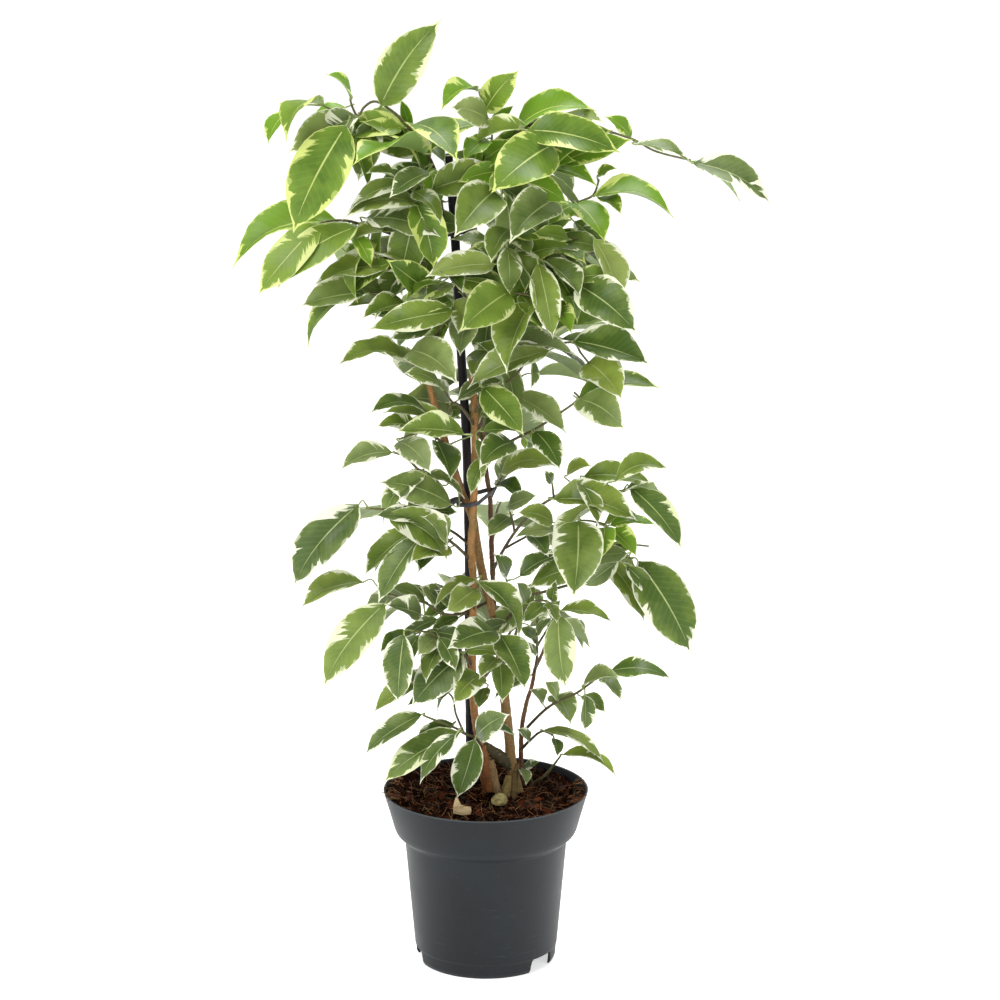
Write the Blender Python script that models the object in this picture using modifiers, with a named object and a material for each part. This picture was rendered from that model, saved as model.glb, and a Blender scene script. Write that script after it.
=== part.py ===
# A young weeping fig with cream-edged leaves, grown as a bush round a black cane in a nursery pot.
# Every length is in metres, and Z is up. The pot stands on the origin, and the photograph looks along +Y.
import math
import random

import bmesh
import bpy
from mathutils import Vector
from mathutils.bvhtree import BVHTree

mm = 0.001

# The photograph's view, which turns a place in the picture and a depth into a place in space
eye = Vector((0.009, -2.400, 0.950))
eyePitch = math.radians(15.56)
eyeFocal = 4279.0
pictureMiddle = 500.0

# The pot
potSides = 36
rimHeight = 105 * mm
rimRadius = 60 * mm
collarFoot = 79 * mm
collarFootRadius = 53.7 * mm
bodyTop = 72 * mm
bodyTopRadius = 48 * mm
baseRadius = 41.9 * mm
channelRoof = 8.4 * mm
channelInner = 28 * mm
footDisc = 26.5 * mm
wall = 1.2 * mm
pinchAcross = 0.013
pinchBack = -0.020

# Drain notches cut in the skirt, in degrees from the front, positive to the right, and their drain holes
notchAngles = (-78.5, 53.5, 167.5)
notchWidth = math.radians(27)
drainRadius = 2.6 * mm
drainRing = 34 * mm

# The soil
soilGap = 0.3 * mm
soilLevel = 97.5 * mm
soilRings = 4

# Clearances and the sizes of wood and leaves
gap = 0.3 * mm
leafThick = 1.3 * mm
petioleRadius = 0.6 * mm
petioleRoot = 0.42 * mm
twigRadius = 1.0 * mm
leafFold = 0.2
twigSides = 4
stemSides = 6
caneSides = 8

# Stems from the soil up: column, row, depth in mm, radius in mm
stemPaths = {
    "front": [
        (489, 840, 6, 2.4), (487, 797, 5, 2.6), (483, 770, 3, 2.6), (480, 745, 2, 2.6), (475, 722, -1, 2.4),
        (472, 690, -4, 2.3), (471, 640, -7, 2.3), (472, 610, -8, 2.2), (472, 575, -9, 2.2), (470, 545, -9, 2.2),
        (472, 520, -9, 2.2), (473, 490, -8, 2.2), (474, 450, -7, 2.2), (474, 420, -6, 2.1), (473, 395, -5, 2.0),
        (471, 378, -5, 1.9), (478, 350, -5, 1.8), (485, 330, -4, 1.7), (494, 305, -2, 1.5), (502, 283, 0, 1.4),
        (508, 265, 2, 1.3), (521, 245, 4, 1.1)],
    "middle": [
        (511, 838, 12, 3.6), (511, 796, 10, 4.6), (513, 778, 10, 3.6), (510, 758, 10, 3.1), (508, 735, 11, 3.0),
        (504, 700, 11, 2.9), (500, 660, 10, 2.8), (495, 625, 8, 2.6), (488, 600, 5, 2.5), (482, 575, 2, 2.5),
        (477, 550, -1, 2.4), (472, 518, -2, 2.4), (463, 497, -2, 2.3), (457, 480, -3, 2.3), (449, 455, -4, 2.2),
        (441, 430, -4, 2.1), (434, 405, -4, 2.0), (429, 385, -4, 1.9), (426, 362, -4, 1.8), (427, 330, -3, 1.7),
        (428, 298, -2, 1.6), (430, 265, 0, 1.4), (436, 245, 0, 1.3), (444, 228, 0, 1.1)],
    "back": [
        (495, 628, 9, 1.4), (493, 605, 12, 1.5), (492, 580, 13, 1.5), (491, 555, 13, 1.5), (490, 525, 12, 1.4),
        (489, 495, 11, 1.4), (484, 462, 10, 1.4), (481, 420, 10, 1.3), (478, 375, 10, 1.3), (473, 320, 10, 1.2),
        (471, 280, 10, 1.2), (472, 235, 9, 1.1), (472, 200, 8, 1.0), (478, 165, 6, 0.9)],
    "right": [
        (524, 815, 30, 1.4), (521, 783, 30, 1.5), (520, 755, 28, 1.5), (521, 725, 25, 1.4), (526, 700, 23, 1.3),
        (531, 684, 22, 1.2), (534, 668, 20, 1.1), (540, 655, 18, 1.0), (546, 640, 16, 0.9)],
}
# The old wood that joins the front and middle stems above the soil, and its second leg
archPath = [(480, 746, 3, 2.0), (490, 748, 5, 2.3), (500, 753, 7, 2.3), (511, 761, 10, 2.2)]
legPath = [(501, 822, 5, 1.7), (498, 797, 4, 2.1), (493, 781, 4, 1.9), (489, 765, 4, 1.8), (488, 749, 5, 1.5)]

# The cane, and the two ties that hold the stems to it
caneRadius = 2.6 * mm
canePath = [
    (447, 153, 4, 2.6), (452, 205, 5, 2.6), (456, 270, 5, 2.6), (460, 350, 5, 2.6), (465, 430, 6, 2.6),
    (467, 500, 7, 2.6), (468, 560, 8, 2.6), (468, 640, 11, 2.6), (469, 740, 16, 2.6), (470, 880, 24, 2.6)]
tieHeight = 2.6 * mm
tieThick = 0.9 * mm
lowerTieRow = 497
upperTieRow = 231

# Sprays of leaves. root is a stem and the row where the spray leaves it. Each twig is a row of places with
# column, row and depth in mm. Each leaf has the columns and rows of its base and tip, its width as seen, its
# turn in degrees, its droop in hundredths of its length, how far it stands ahead of its twig in mm, and a tone.
sprays = {
    "crown_left": dict(root=("middle", 228), twigs=[
        [(440, 200, -4), (436, 175, -8), (425, 150, -12), (405, 123, -14), (389, 108, -14), (374, 100, -13),
         (363, 106, -13), (356, 116, -14), (340, 113, -15), (320, 103, -15)],
        [(356, 116, -14), (351, 105, -15), (349, 97, -16)]],
        leaves=[
            (388, 108, 438, 21, 45, 5, 5, -2, "b"), (350, 97, 325, 73, 7, 70, 8, 0, "y"),
            (320, 103, 285, 141, 18, 60, 20, -2, "b"), (288, 110, 267, 143, 14, 50, 8, 0, "y"),
            (352, 120, 286, 152, 36, 20, 8, -2, "g"), (345, 124, 292, 232, 54, 0, 6, -12, "b"),
            (357, 115, 352, 160, 12, 55, 5, -4, "y")]),
    "crown_inner": dict(root=("middle", 240), twigs=[
        [(437, 205, 6), (428, 168, 4), (416, 148, 2), (409, 126, 0)]],
        leaves=[
            (426, 151, 358, 120, 18, 45, 8, -8, "b"), (424, 153, 352, 164, 16, 60, 10, -12, "y"),
            (410, 125, 358, 114, 12, 55, 8, 4, "m"), (411, 124, 457, 162, 42, 15, 8, -12, "m"),
            (410, 131, 445, 163, 20, 40, 5, 6, "d"),
            (409, 127, 399, 97, 4, 0, 0, 0, "y")]),
    "shoulder_left": dict(root=("middle", 250), twigs=[
        [(428, 222, -12), (420, 200, -20), (412, 188, -24), (398, 180, -27)]],
        leaves=[
            (397, 179, 365, 172, 10, 65, 8, -2, "b"), (424, 166, 376, 188, 22, 40, 8, 6, "d"),
            (428, 172, 388, 197, 20, 40, 8, -2, "m"), (420, 205, 341, 219, 26, 50, 18, -6, "m"),
            (405, 184, 347, 213, 16, 60, 12, -6, "b"), (412, 190, 440, 224, 18, 45, 8, -4, "g")]),
    "far_left": dict(root=("middle", 262), twigs=[
        [(402, 238, -10), (360, 223, -17), (340, 219, -20), (320, 222, -23), (311, 232, -24)]],
        leaves=[
            (342, 219, 229, 264, 28, 45, 16, 8, "y"), (318, 222, 257, 294, 35, 20, 7, -4, "b"),
            (357, 225, 276, 288, 32, 25, 8, -10, "b"),
            (400, 228, 345, 241, 16, 50, 8, -4, "c"), (350, 243, 312, 259, 12, 60, 8, 4, "m")]),
    "left_upper": dict(root=("middle", 288), twigs=[
        [(420, 268, -8), (405, 258, -14), (390, 262, -18)]],
        leaves=[
            (420, 260, 350, 250, 24, 45, 8, -4, "g"), (418, 266, 336, 257, 10, 75, 6, 4, "m"),
            (391, 265, 312, 285, 24, 45, 8, -4, "c"), (426, 288, 385, 258, 30, 10, 6, -14, "c"),
            (400, 255, 352, 272, 18, 50, 8, 10, "m")]),
    "left_middle": dict(root=("middle", 322), twigs=[
        [(414, 308, -8), (402, 303, -12), (390, 293, -14), (357, 292, -16)]],
        leaves=[
            (364, 292, 299, 305, 26, 35, 8, -6, "m"), (390, 294, 342, 281, 18, 40, 8, 4, "c"),
            (357, 292, 307, 348, 14, 60, 14, 0, "b"), (402, 304, 345, 306, 10, 75, 6, 4, "m"),
            (404, 302, 360, 318, 20, 40, 6, -6, "m")]),
    "left_front": dict(root=("middle", 345), twigs=[
        [(437, 330, -14), (447, 316, -24), (452, 308, -30)]],
        leaves=[
            (452, 310, 366, 329, 29, 25, 10, -6, "m"), (430, 328, 388, 338, 18, 30, 5, 8, "d"),
            (450, 300, 416, 315, 20, 35, 5, 6, "m")]),
    "left_lower": dict(root=("middle", 385), twigs=[
        [(418, 371, -10), (411, 362, -16), (409, 350, -20)]],
        leaves=[
            (411, 363, 335, 366, 20, 60, 14, 0, "m"), (410, 349, 457, 384, 38, 15, 6, -8, "g"),
            (412, 358, 372, 350, 14, 55, 6, 4, "d")]),
    "waist_left": dict(root=("front", 425), twigs=[
        [(462, 408, -16), (452, 402, -22), (443, 416, -26), (428, 413, -28)],
        [(452, 402, -22), (441, 387, -24)]],
        leaves=[
            (426, 411, 367, 414, 16, 60, 14, -2, "d"),
            (443, 420, 380, 412, 16, 50, 8, -6, "m"), (441, 388, 402, 372, 18, 45, 8, 0, "c")]),
    "waist_behind": dict(root=("back", 415), twigs=[
        [(466, 408, 15), (452, 404, 18)]],
        leaves=[
            (449, 404, 397, 398, 40, 15, 5, 6, "m"), (470, 420, 492, 452, 26, 30, 8, 8, "d")]),
    "waist_front": dict(root=("middle", 445), twigs=[
        [(434, 436, -12), (420, 431, -20), (398, 438, -26)]],
        leaves=[
            (463, 433, 395, 430, 24, 35, 8, -30, "b"), (420, 429, 374, 426, 16, 45, 8, 0, "c"),
            (398, 440, 430, 473, 28, 20, 6, -6, "c"), (435, 440, 450, 480, 22, 40, 5, 2, "d")]),
    "waist_lower": dict(root=("middle", 485), twigs=[
        [(440, 474, -10), (420, 470, -16), (405, 456, -18), (392, 451, -20)]],
        leaves=[
            (391, 451, 338, 470, 20, 45, 12, 0, "m"), (442, 484, 391, 493, 18, 50, 12, 4, "g"),
            (450, 503, 377, 481, 36, 25, 8, -14, "m"), (420, 471, 398, 500, 18, 30, 6, 8, "c")]),
    "crown_centre": dict(root=("back", 165), twigs=[
        [(480, 140, 2), (484, 115, 0), (478, 90, -2)],
        [(484, 115, 0), (490, 121, -6), (491, 140, -10)]],
        leaves=[
            (477, 89, 440, 110, 16, 50, 16, -4, "y"), (484, 110, 518, 69, 28, 10, 5, -3, "b"),
            (488, 120, 448, 106, 26, 25, 6, -6, "g"), (478, 132, 474, 180, 16, 45, 5, -8, "b"),
            (490, 120, 513, 104, 5, 0, 0, 0, "y"), (486, 138, 462, 160, 22, 30, 6, -4, "m")]),
    "crown_right": dict(root=("back", 205), twigs=[
        [(484, 178, 2), (492, 150, -4), (510, 136, -8), (527, 125, -10), (560, 119, -10), (600, 128, -12),
         (632, 138, -14), (655, 150, -15), (690, 159, -16)],
        [(540, 122, -10), (553, 142, -16), (560, 160, -20)],
        [(485, 176, 2), (496, 180, -8), (508, 173, -14), (520, 172, -18)]],
        leaves=[
            (519, 172, 598, 187, 16, 60, 8, 2, "m"), (508, 173, 488, 190, 16, 30, 5, -6, "b"),
            (493, 190, 453, 236, 50, 6, 6, -18, "g"), (486, 204, 505, 232, 22, 30, 6, 4, "m"),
            (551, 144, 490, 192, 50, 12, 7, -12, "d"), (526, 124, 617, 148, 35, 30, 10, -12, "d"),
            (516, 123, 593, 105, 24, 45, 18, 6, "y"), (560, 161, 632, 138, 26, 20, 8, 6, "y"),
            (630, 137, 603, 115, 14, 40, 8, 6, "y"), (632, 138, 690, 158, 14, 60, 8, -4, "g"),
            (690, 159, 765, 199, 26, 40, 8, 0, "g"), (689, 160, 739, 200, 9, 75, 6, 6, "y")]),
    "right_upper": dict(root=("front", 250), twigs=[
        [(540, 230, 0), (560, 217, -4), (576, 202, -7), (592, 194, -8), (598, 178, -8)]],
        leaves=[
            (597, 174, 616, 167, 10, 30, 4, 0, "b"), (592, 195, 673, 217, 18, 60, 18, 0, "y"),
            (598, 196, 620, 213, 13, 50, 5, -3, "m"), (575, 202, 604, 242, 26, 35, 6, -6, "b"),
            (574, 203, 545, 225, 20, 30, 6, 6, "b"), (553, 199, 508, 243, 40, 15, 7, -10, "g"),
            (566, 214, 590, 224, 18, 45, 6, 8, "m")]),
    "centre_right": dict(root=("front", 272), twigs=[
        [(524, 260, -10), (545, 262, -18), (562, 272, -24), (577, 279, -26)],
        [(524, 260, -10), (542, 245, -13), (568, 238, -15), (592, 238, -17)]],
        leaves=[
            (568, 238, 531, 232, 15, 40, 6, -4, "b"), (593, 238, 618, 303, 26, 38, 8, 0, "c"),
            (580, 238, 606, 268, 20, 40, 6, 8, "d"), (548, 243, 585, 262, 22, 45, 8, 6, "d"),
            (530, 250, 589, 275, 22, 40, 8, 12, "d"), (537, 262, 552, 338, 28, 12, 6, -16, "m"),
            (542, 260, 580, 298, 20, 50, 6, -6, "c"), (577, 284, 637, 333, 42, 15, 8, -3, "m"),
            (577, 270, 641, 282, 14, 65, 8, 6, "g"), (560, 275, 600, 296, 20, 40, 6, 8, "m")]),
    "centre_front": dict(root=("front", 318), twigs=[
        [(497, 306, -14), (506, 294, -22), (517, 292, -26), (534, 296, -28), (550, 300, -29)]],
        leaves=[
            (499, 304, 526, 324, 21, 25, 5, -4, "y"), (519, 293, 541, 330, 20, 35, 6, 6, "c"),
            (507, 291, 458, 331, 42, 3, 6, -12, "b"), (551, 300, 571, 333, 20, 30, 6, -2, "y")]),
    "centre_high": dict(root=("front", 292), twigs=[
        [(499, 268, -14), (504, 248, -20), (508, 230, -22)]],
        leaves=[
            (494, 263, 424, 276, 26, 22, 7, -10, "m"), (507, 228, 490, 262, 24, 20, 5, -4, "c"),
            (500, 262, 476, 247, 14, 40, 5, 8, "m"), (510, 232, 530, 254, 18, 35, 5, 6, "m")]),
    "centre_left": dict(root=("back", 335), twigs=[
        [(468, 318, -6), (466, 298, -12), (452, 280, -14), (440, 266, -16)]],
        leaves=[
            (468, 318, 459, 355, 36, 10, 5, -6, "b"), (467, 297, 457, 333, 21, 20, 5, -10, "g"),
            (440, 264, 462, 292, 20, 40, 6, -4, "c"), (450, 282, 424, 300, 20, 35, 6, 2, "m")]),
    "branch_right": dict(root=("front", 440), twigs=[
        [(488, 402, -10), (501, 386, -14), (516, 372, -17), (529, 356, -20), (545, 347, -22), (571, 341, -24),
         (580, 352, -24), (588, 362, -24)]],
        leaves=[
            (572, 340, 650, 364, 33, 35, 8, -3, "m"), (548, 349, 466, 388, 27, 30, 8, -10, "c"),
            (543, 351, 522, 362, 12, 30, 5, 4, "d"), (530, 356, 530, 388, 8, 65, 5, 0, "m"),
            (587, 361, 622, 400, 42, 10, 6, -4, "b"), (512, 391, 567, 428, 24, 35, 8, 6, "m")]),
    "branch_top": dict(root=("front", 358), twigs=[
        [(489, 347, -14), (499, 342, -20)]],
        leaves=[
            (499, 342, 577, 355, 20, 50, 8, 0, "m"), (492, 346, 520, 330, 18, 40, 6, 4, "m"),
            (488, 350, 470, 378, 20, 30, 6, -6, "m")]),
    "waist_right_top": dict(root=("front", 412), twigs=[
        [(480, 398, -16), (483, 388, -24)], [(481, 396, -18), (484, 412, -22), (482, 428, -24)]],
        leaves=[
            (482, 386, 523, 434, 32, 15, 6, -8, "b"), (484, 411, 515, 427, 22, 30, 5, -2, "m"),
            (482, 430, 522, 431, 14, 60, 6, -4, "b")]),
    "waist_right": dict(root=("front", 482), twigs=[
        [(492, 456, -14), (510, 440, -16), (534, 428, -16), (557, 413, -16), (577, 398, -16), (573, 391, -16)]],
        leaves=[
            (534, 430, 559, 470, 24, 28, 6, -4, "d"), (577, 399, 661, 388, 20, 52, 14, 0, "m"),
            (578, 398, 625, 430, 36, 15, 6, -7, "m"), (531, 430, 535, 445, 5, 0, 0, 0, "y"),
            (522, 436, 524, 448, 4, 0, 0, 0, "y"), (512, 441, 478, 468, 28, 20, 6, 14, "d")]),
    "waist_right_low": dict(root=("back", 498), twigs=[
        [(496, 484, 0), (502, 473, -6)]],
        leaves=[
            (500, 472, 557, 466, 22, 42, 16, 0, "m"), (498, 482, 520, 500, 20, 35, 6, 6, "d"),
            (497, 478, 520, 452, 18, 30, 6, 8, "m")]),
    "right_branch": dict(root=("back", 570), twigs=[
        [(500, 553, 4), (511, 535, -2), (525, 517, -6), (540, 504, -8), (553, 496, -10), (565, 488, -12),
         (578, 480, -13), (604, 489, -14), (625, 489, -15)],
        [(513, 531, -2), (511, 517, 2), (507, 506, 4)], [(553, 496, -10), (551, 481, -12)],
        [(503, 547, 2), (530, 533, 6), (553, 524, 4)]],
        leaves=[
            (552, 521, 515, 512, 20, 20, 6, -3, "g"), (554, 529, 512, 537, 14, 40, 8, -5, "g"),
            (530, 534, 548, 556, 20, 30, 6, 4, "d"),
            (551, 481, 543, 469, 11, 20, 6, 0, "c"), (566, 474, 592, 465, 14, 42, 6, 4, "g"),
            (583, 475, 655, 487, 22, 38, 8, 4, "m"), (614, 484, 669, 471, 20, 42, 18, 4, "g"),
            (625, 489, 676, 549, 30, 36, 8, 0, "m"), (553, 498, 637, 520, 30, 40, 12, -5, "c"),
            (577, 481, 597, 525, 16, 55, 8, -5, "c"), (507, 505, 537, 494, 17, 35, 6, 4, "g"),
            (509, 516, 486, 536, 22, 30, 6, 4, "g")]),
    "right_cluster": dict(root=("middle", 632), twigs=[
        [(513, 609, 0), (524, 596, -6), (545, 590, -12), (578, 580, -16), (597, 566, -18), (606, 545, -19),
         (607, 526, -20), (592, 520, -21), (578, 519, -22)],
        [(597, 566, -18), (616, 557, -20), (632, 557, -22)], [(606, 545, -19), (625, 543, -20), (648, 545, -21)]],
        leaves=[
            (577, 520, 572, 598, 50, 5, 5, -8, "m"), (594, 528, 586, 553, 22, 20, 10, -4, "g"),
            (604, 526, 600, 558, 28, 12, 6, -8, "y"), (609, 524, 656, 524, 11, 55, 8, -3, "g"),
            (604, 522, 640, 515, 12, 50, 8, 5, "m"), (610, 529, 636, 556, 20, 30, 6, -4, "m"),
            (606, 560, 643, 622, 28, 25, 8, 6, "d"), (632, 558, 686, 650, 50, 10, 7, -3, "c"),
            (634, 566, 676, 649, 14, 55, 6, 8, "m")]),
    "low_middle": dict(root=("middle", 668), twigs=[
        [(512, 640, 0), (520, 618, -6), (530, 602, -10), (546, 600, -14), (558, 612, -16)],
        [(520, 618, -6), (511, 596, -8), (505, 578, -8)]],
        leaves=[
            (560, 609, 612, 621, 14, 48, 8, 5, "d"), (551, 600, 555, 578, 12, 20, 5, 4, "m"),
            (557, 613, 565, 688, 37, 2, 6, -5, "b"), (545, 602, 522, 622, 16, 35, 6, -5, "g"),
            (505, 577, 492, 552, 14, 40, 6, 2, "d"), (524, 600, 515, 580, 14, 35, 5, -4, "c"),
            (530, 602, 533, 580, 12, 30, 5, 4, "g"), (547, 602, 556, 622, 15, 40, 6, 2, "m")]),
    "low_front": dict(root=("front", 610), twigs=[
        [(476, 594, -18), (477, 582, -25)]],
        leaves=[
            (477, 580, 518, 640, 24, 42, 18, -3, "c"), (475, 588, 444, 612, 27, 15, 6, -3, "c"),
            (474, 578, 433, 606, 14, 60, 8, 8, "c")]),
    "left_branch": dict(root=("front", 560), twigs=[
        [(452, 542, -14), (430, 529, -20), (408, 514, -24), (390, 509, -26), (365, 507, -28)]],
        leaves=[
            (363, 507, 295, 590, 50, 6, 6, -3, "c"), (412, 530, 363, 575, 20, 42, 8, 5, "m"),
            (428, 528, 372, 515, 15, 48, 8, -6, "d"), (420, 535, 377, 602, 24, 30, 8, -3, "m"),
            (449, 546, 408, 562, 24, 35, 8, -3, "d"), (447, 541, 417, 572, 20, 45, 8, 10, "d"),
            (446, 538, 420, 515, 20, 35, 6, 4, "m")]),
    "left_branch_low": dict(root=("middle", 600), twigs=[
        [(462, 612, -8), (440, 612, -14), (425, 602, -18), (404, 597, -22), (378, 590, -25)]],
        leaves=[
            (362, 585, 299, 611, 22, 40, 12, 0, "b"), (388, 604, 325, 687, 43, 6, 6, -5, "b"),
            (420, 613, 383, 603, 22, 30, 6, -6, "d"), (424, 600, 388, 586, 13, 55, 6, 5, "m"),
            (440, 608, 418, 585, 20, 35, 6, 6, "m"), (460, 610, 433, 588, 18, 40, 6, 6, "d")]),
    "low_left": dict(root=("front", 665), twigs=[
        [(460, 650, -16), (446, 641, -22), (430, 632, -27), (410, 629, -30)]],
        leaves=[
            (403, 633, 397, 702, 31, 28, 6, -3, "g"), (418, 634, 393, 690, 23, 38, 6, 5, "m"),
            (462, 653, 410, 706, 39, 12, 8, -9, "c"), (455, 646, 415, 637, 15, 50, 6, 4, "m"),
            (436, 635, 416, 655, 22, 30, 5, 6, "d"), (440, 645, 425, 682, 20, 35, 6, 4, "m")]),
    "low_centre": dict(root=("front", 690), twigs=[
        [(482, 678, -14), (490, 668, -21), (497, 657, -26), (497, 636, -30)]],
        leaves=[
            (496, 630, 446, 648, 31, 30, 6, -6, "d"), (499, 634, 525, 690, 31, 25, 8, -1, "g"),
            (494, 642, 516, 655, 18, 40, 6, 6, "m"), (496, 657, 478, 678, 26, 22, 5, -4, "c"),
            (499, 661, 501, 702, 23, 28, 6, 2, "g"), (480, 674, 452, 704, 29, 20, 6, -8, "b"),
            (486, 686, 478, 708, 14, 30, 5, -3, "m")]),
    "foot_left": dict(root=("front", 748), twigs=[
        [(476, 738, -12), (463, 732, -15), (455, 727, -18), (437, 720, -22), (422, 714, -25)],
        [(463, 732, -15), (455, 713, -14), (450, 694, -16), (430, 685, -20)],
        [(476, 738, -12), (475, 735, -20)]],
        leaves=[
            (474, 738, 456, 797, 29, 5, 5, -7, "c"), (476, 734, 509, 713, 27, 15, 6, -4, "d"),
            (478, 736, 516, 735, 10, 60, 14, 4, "c"),
            (421, 713, 363, 754, 18, 40, 8, 0, "c"), (452, 722, 415, 752, 19, 34, 8, 5, "d"),
            (459, 731, 382, 782, 19, 32, 8, -5, "m"), (455, 733, 419, 783, 17, 36, 8, -14, "m"),
            (420, 685, 372, 712, 17, 45, 8, 0, "c"), (446, 690, 405, 706, 15, 42, 6, 5, "d"),
            (440, 686, 412, 668, 16, 40, 6, 4, "m")]),
    "foot_right": dict(root=("right", 732), twigs=[
        [(540, 712, 16), (555, 701, 10), (575, 692, 6), (592, 680, 4), (606, 671, 2)]],
        leaves=[
            (542, 703, 528, 688, 14, 40, 6, 4, "m"), (556, 697, 543, 680, 16, 30, 6, -4, "g"),
            (553, 694, 570, 724, 26, 22, 6, -6, "m"), (582, 685, 622, 678, 14, 52, 14, -3, "c"),
            (609, 670, 672, 679, 19, 45, 10, 0, "d"), (580, 695, 605, 712, 14, 40, 6, 4, "m"),
            (584, 694, 584, 730, 15, 35, 6, -3, "c"), (600, 676, 620, 700, 14, 45, 6, 5, "m")]),
    "foot_right_low": dict(root=("right", 748), twigs=[
        [(530, 738, 20), (541, 730, 12), (552, 734, 8)]],
        leaves=[
            (542, 729, 603, 762, 11, 62, 8, -3, "m"), (553, 737, 556, 756, 11, 35, 5, 3, "d"),
            (528, 740, 515, 728, 10, 40, 5, -3, "m")]),
    "right_thin": dict(root=("right", 672), twigs=[
        [(536, 655, 13), (536, 632, 7), (537, 604, 4)],
        [(536, 645, 10), (545, 630, 9), (552, 618, 8)]],
        leaves=[
            (537, 634, 552, 616, 9, 40, 6, -4, "m"), (538, 603, 528, 584, 10, 35, 6, -2, "m"),
            (536, 652, 520, 644, 10, 40, 5, 0, "c"), (536, 640, 518, 626, 12, 40, 5, 3, "d"),
            (549, 634, 566, 646, 11, 45, 6, 4, "m"), (552, 619, 560, 598, 12, 40, 5, 4, "m")]),
    "base_sprout": dict(root=("soil", 0), twigs=[
        [(532, 800, 17), (532, 783, 16), (543, 775, 13), (554, 762, 10), (560, 754, 8)],
        [(532, 783, 16), (529, 776, 15), (523, 769, 14)]],
        leaves=[
            (562, 753, 617, 778, 12, 58, 8, -2, "m"), (523, 768, 539, 760, 9, 35, 5, 2, "c"),
            (521, 769, 525, 784, 16, 25, 5, -4, "g")]),
}

# Sprays at the back, which the photograph hides: a stem and row to leave, then heading and reach.
# Heading is in degrees from straight back, positive to the right. Reach is in mm.
hiddenSprays = [
    ("middle", 655, 20, 50), ("front", 622, -36, 48), ("back", 545, 6, 52), ("middle", 552, -50, 54),
    ("back", 492, 48, 54), ("front", 455, -20, 56), ("back", 420, 26, 58), ("middle", 372, -52, 58),
    ("back", 345, -4, 62), ("front", 372, 60, 56), ("back", 290, 38, 60), ("middle", 290, -58, 58),
    ("back", 236, -14, 58), ("back", 200, 44, 48)]

# Where the photograph shows foliage all the way through, so that hidden leaves may show there too
denseParts = [
    [(375, 155), (440, 135), (480, 150), (555, 140), (600, 190), (622, 260), (625, 330), (590, 345), (545, 400),
     (505, 470), (455, 485), (430, 400), (400, 330), (350, 285), (345, 235)],
    [(430, 545), (480, 570), (505, 640), (560, 600), (600, 560), (625, 590), (575, 640), (545, 700), (500, 725),
     (450, 700), (415, 650), (400, 600)]]

# Each station of a blade: share of its length, share of its width
largeStations = ((0.11, 0.62), (0.36, 1.0), (0.66, 0.84), (0.87, 0.27))
smallStations = ((0.15, 0.76), (0.48, 1.0), (0.82, 0.42))
hiddenStations = ((0.24, 0.96), (0.72, 0.74))
largeLeaf = 46 * mm


def placeOf(column, row, depth):
    # The place in space seen at this column and row of the picture, depth mm behind the pot's axis
    across = (column - pictureMiddle) / eyeFocal
    up = (pictureMiddle - row) / eyeFocal
    reach = (depth * mm - eye.y) / (math.cos(eyePitch) + up * math.sin(eyePitch))
    height = eye.z + reach * (up * math.cos(eyePitch) - math.sin(eyePitch))
    return Vector((eye.x + reach * across, depth * mm, height))


def pictureOf(point):
    # The column and row at which the photograph would show this place
    ray = point - eye
    forward = ray.y * math.cos(eyePitch) - ray.z * math.sin(eyePitch)
    up = ray.y * math.sin(eyePitch) + ray.z * math.cos(eyePitch)
    return pictureMiddle + eyeFocal * ray.x / forward, pictureMiddle - eyeFocal * up / forward


def soilHeight(x, y):
    # The soil is uneven, high round the stems and at both sides, and lower at the back right
    away = math.hypot(x, y)
    height = soilLevel + 2.4 * mm * math.exp(-(away / (26 * mm)) ** 2)
    height += 4.6 * mm * (x / rimRadius) ** 2 - 0.8 * mm * (x + y) / rimRadius
    height += 0.7 * mm * math.sin(x * 190 + 1.3) * math.cos(y * 230 + 0.4)
    height += 0.4 * mm * math.sin(x * 410 + y * 330)
    return height


def pinched(point):
    # The collar's rim is pressed slightly oval, wider across than from front to back
    share = max(0.0, min(1.0, (point.z - collarFoot) / (rimHeight - collarFoot)))
    return Vector((point.x * (1 + pinchAcross * share), point.y * (1 + pinchBack * share), point.z))


def innerRadius(height):
    # The inside of the collar's wall
    share = (height - collarFoot) / (rimHeight - collarFoot)
    return collarFootRadius + (rimRadius - collarFootRadius) * share - wall


def stemPoints(path):
    return [placeOf(column, row, depth) for column, row, depth, radius in path]


def stemRadii(path):
    return [radius * mm for column, row, depth, radius in path]


def tube(points, radii, sides):
    # A tapered tube along the points, its ring carried along without twist
    steps = [(b - a).normalized() for a, b in zip(points, points[1:])]
    heading = steps[0]
    side = heading.cross(Vector((0.31, 0.2, 0.93))).normalized()
    corners = []
    for index, (point, radius) in enumerate(zip(points, radii)):
        before = steps[max(index - 1, 0)]
        after = steps[min(index, len(steps) - 1)]
        turned = (before + after).normalized()
        side = heading.rotation_difference(turned) @ side
        heading = turned
        other = heading.cross(side)
        for number in range(sides):
            angle = 2 * math.pi * number / sides
            corners.append(point + (side * math.cos(angle) + other * math.sin(angle)) * radius)
    faces = [tuple(range(sides))[::-1]]
    for ring in range(len(points) - 1):
        for number in range(sides):
            a = ring * sides + number
            b = ring * sides + (number + 1) % sides
            faces.append((a, b, b + sides, a + sides))
    last = (len(points) - 1) * sides
    faces.append(tuple(range(last, last + sides)))
    return corners, faces


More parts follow.
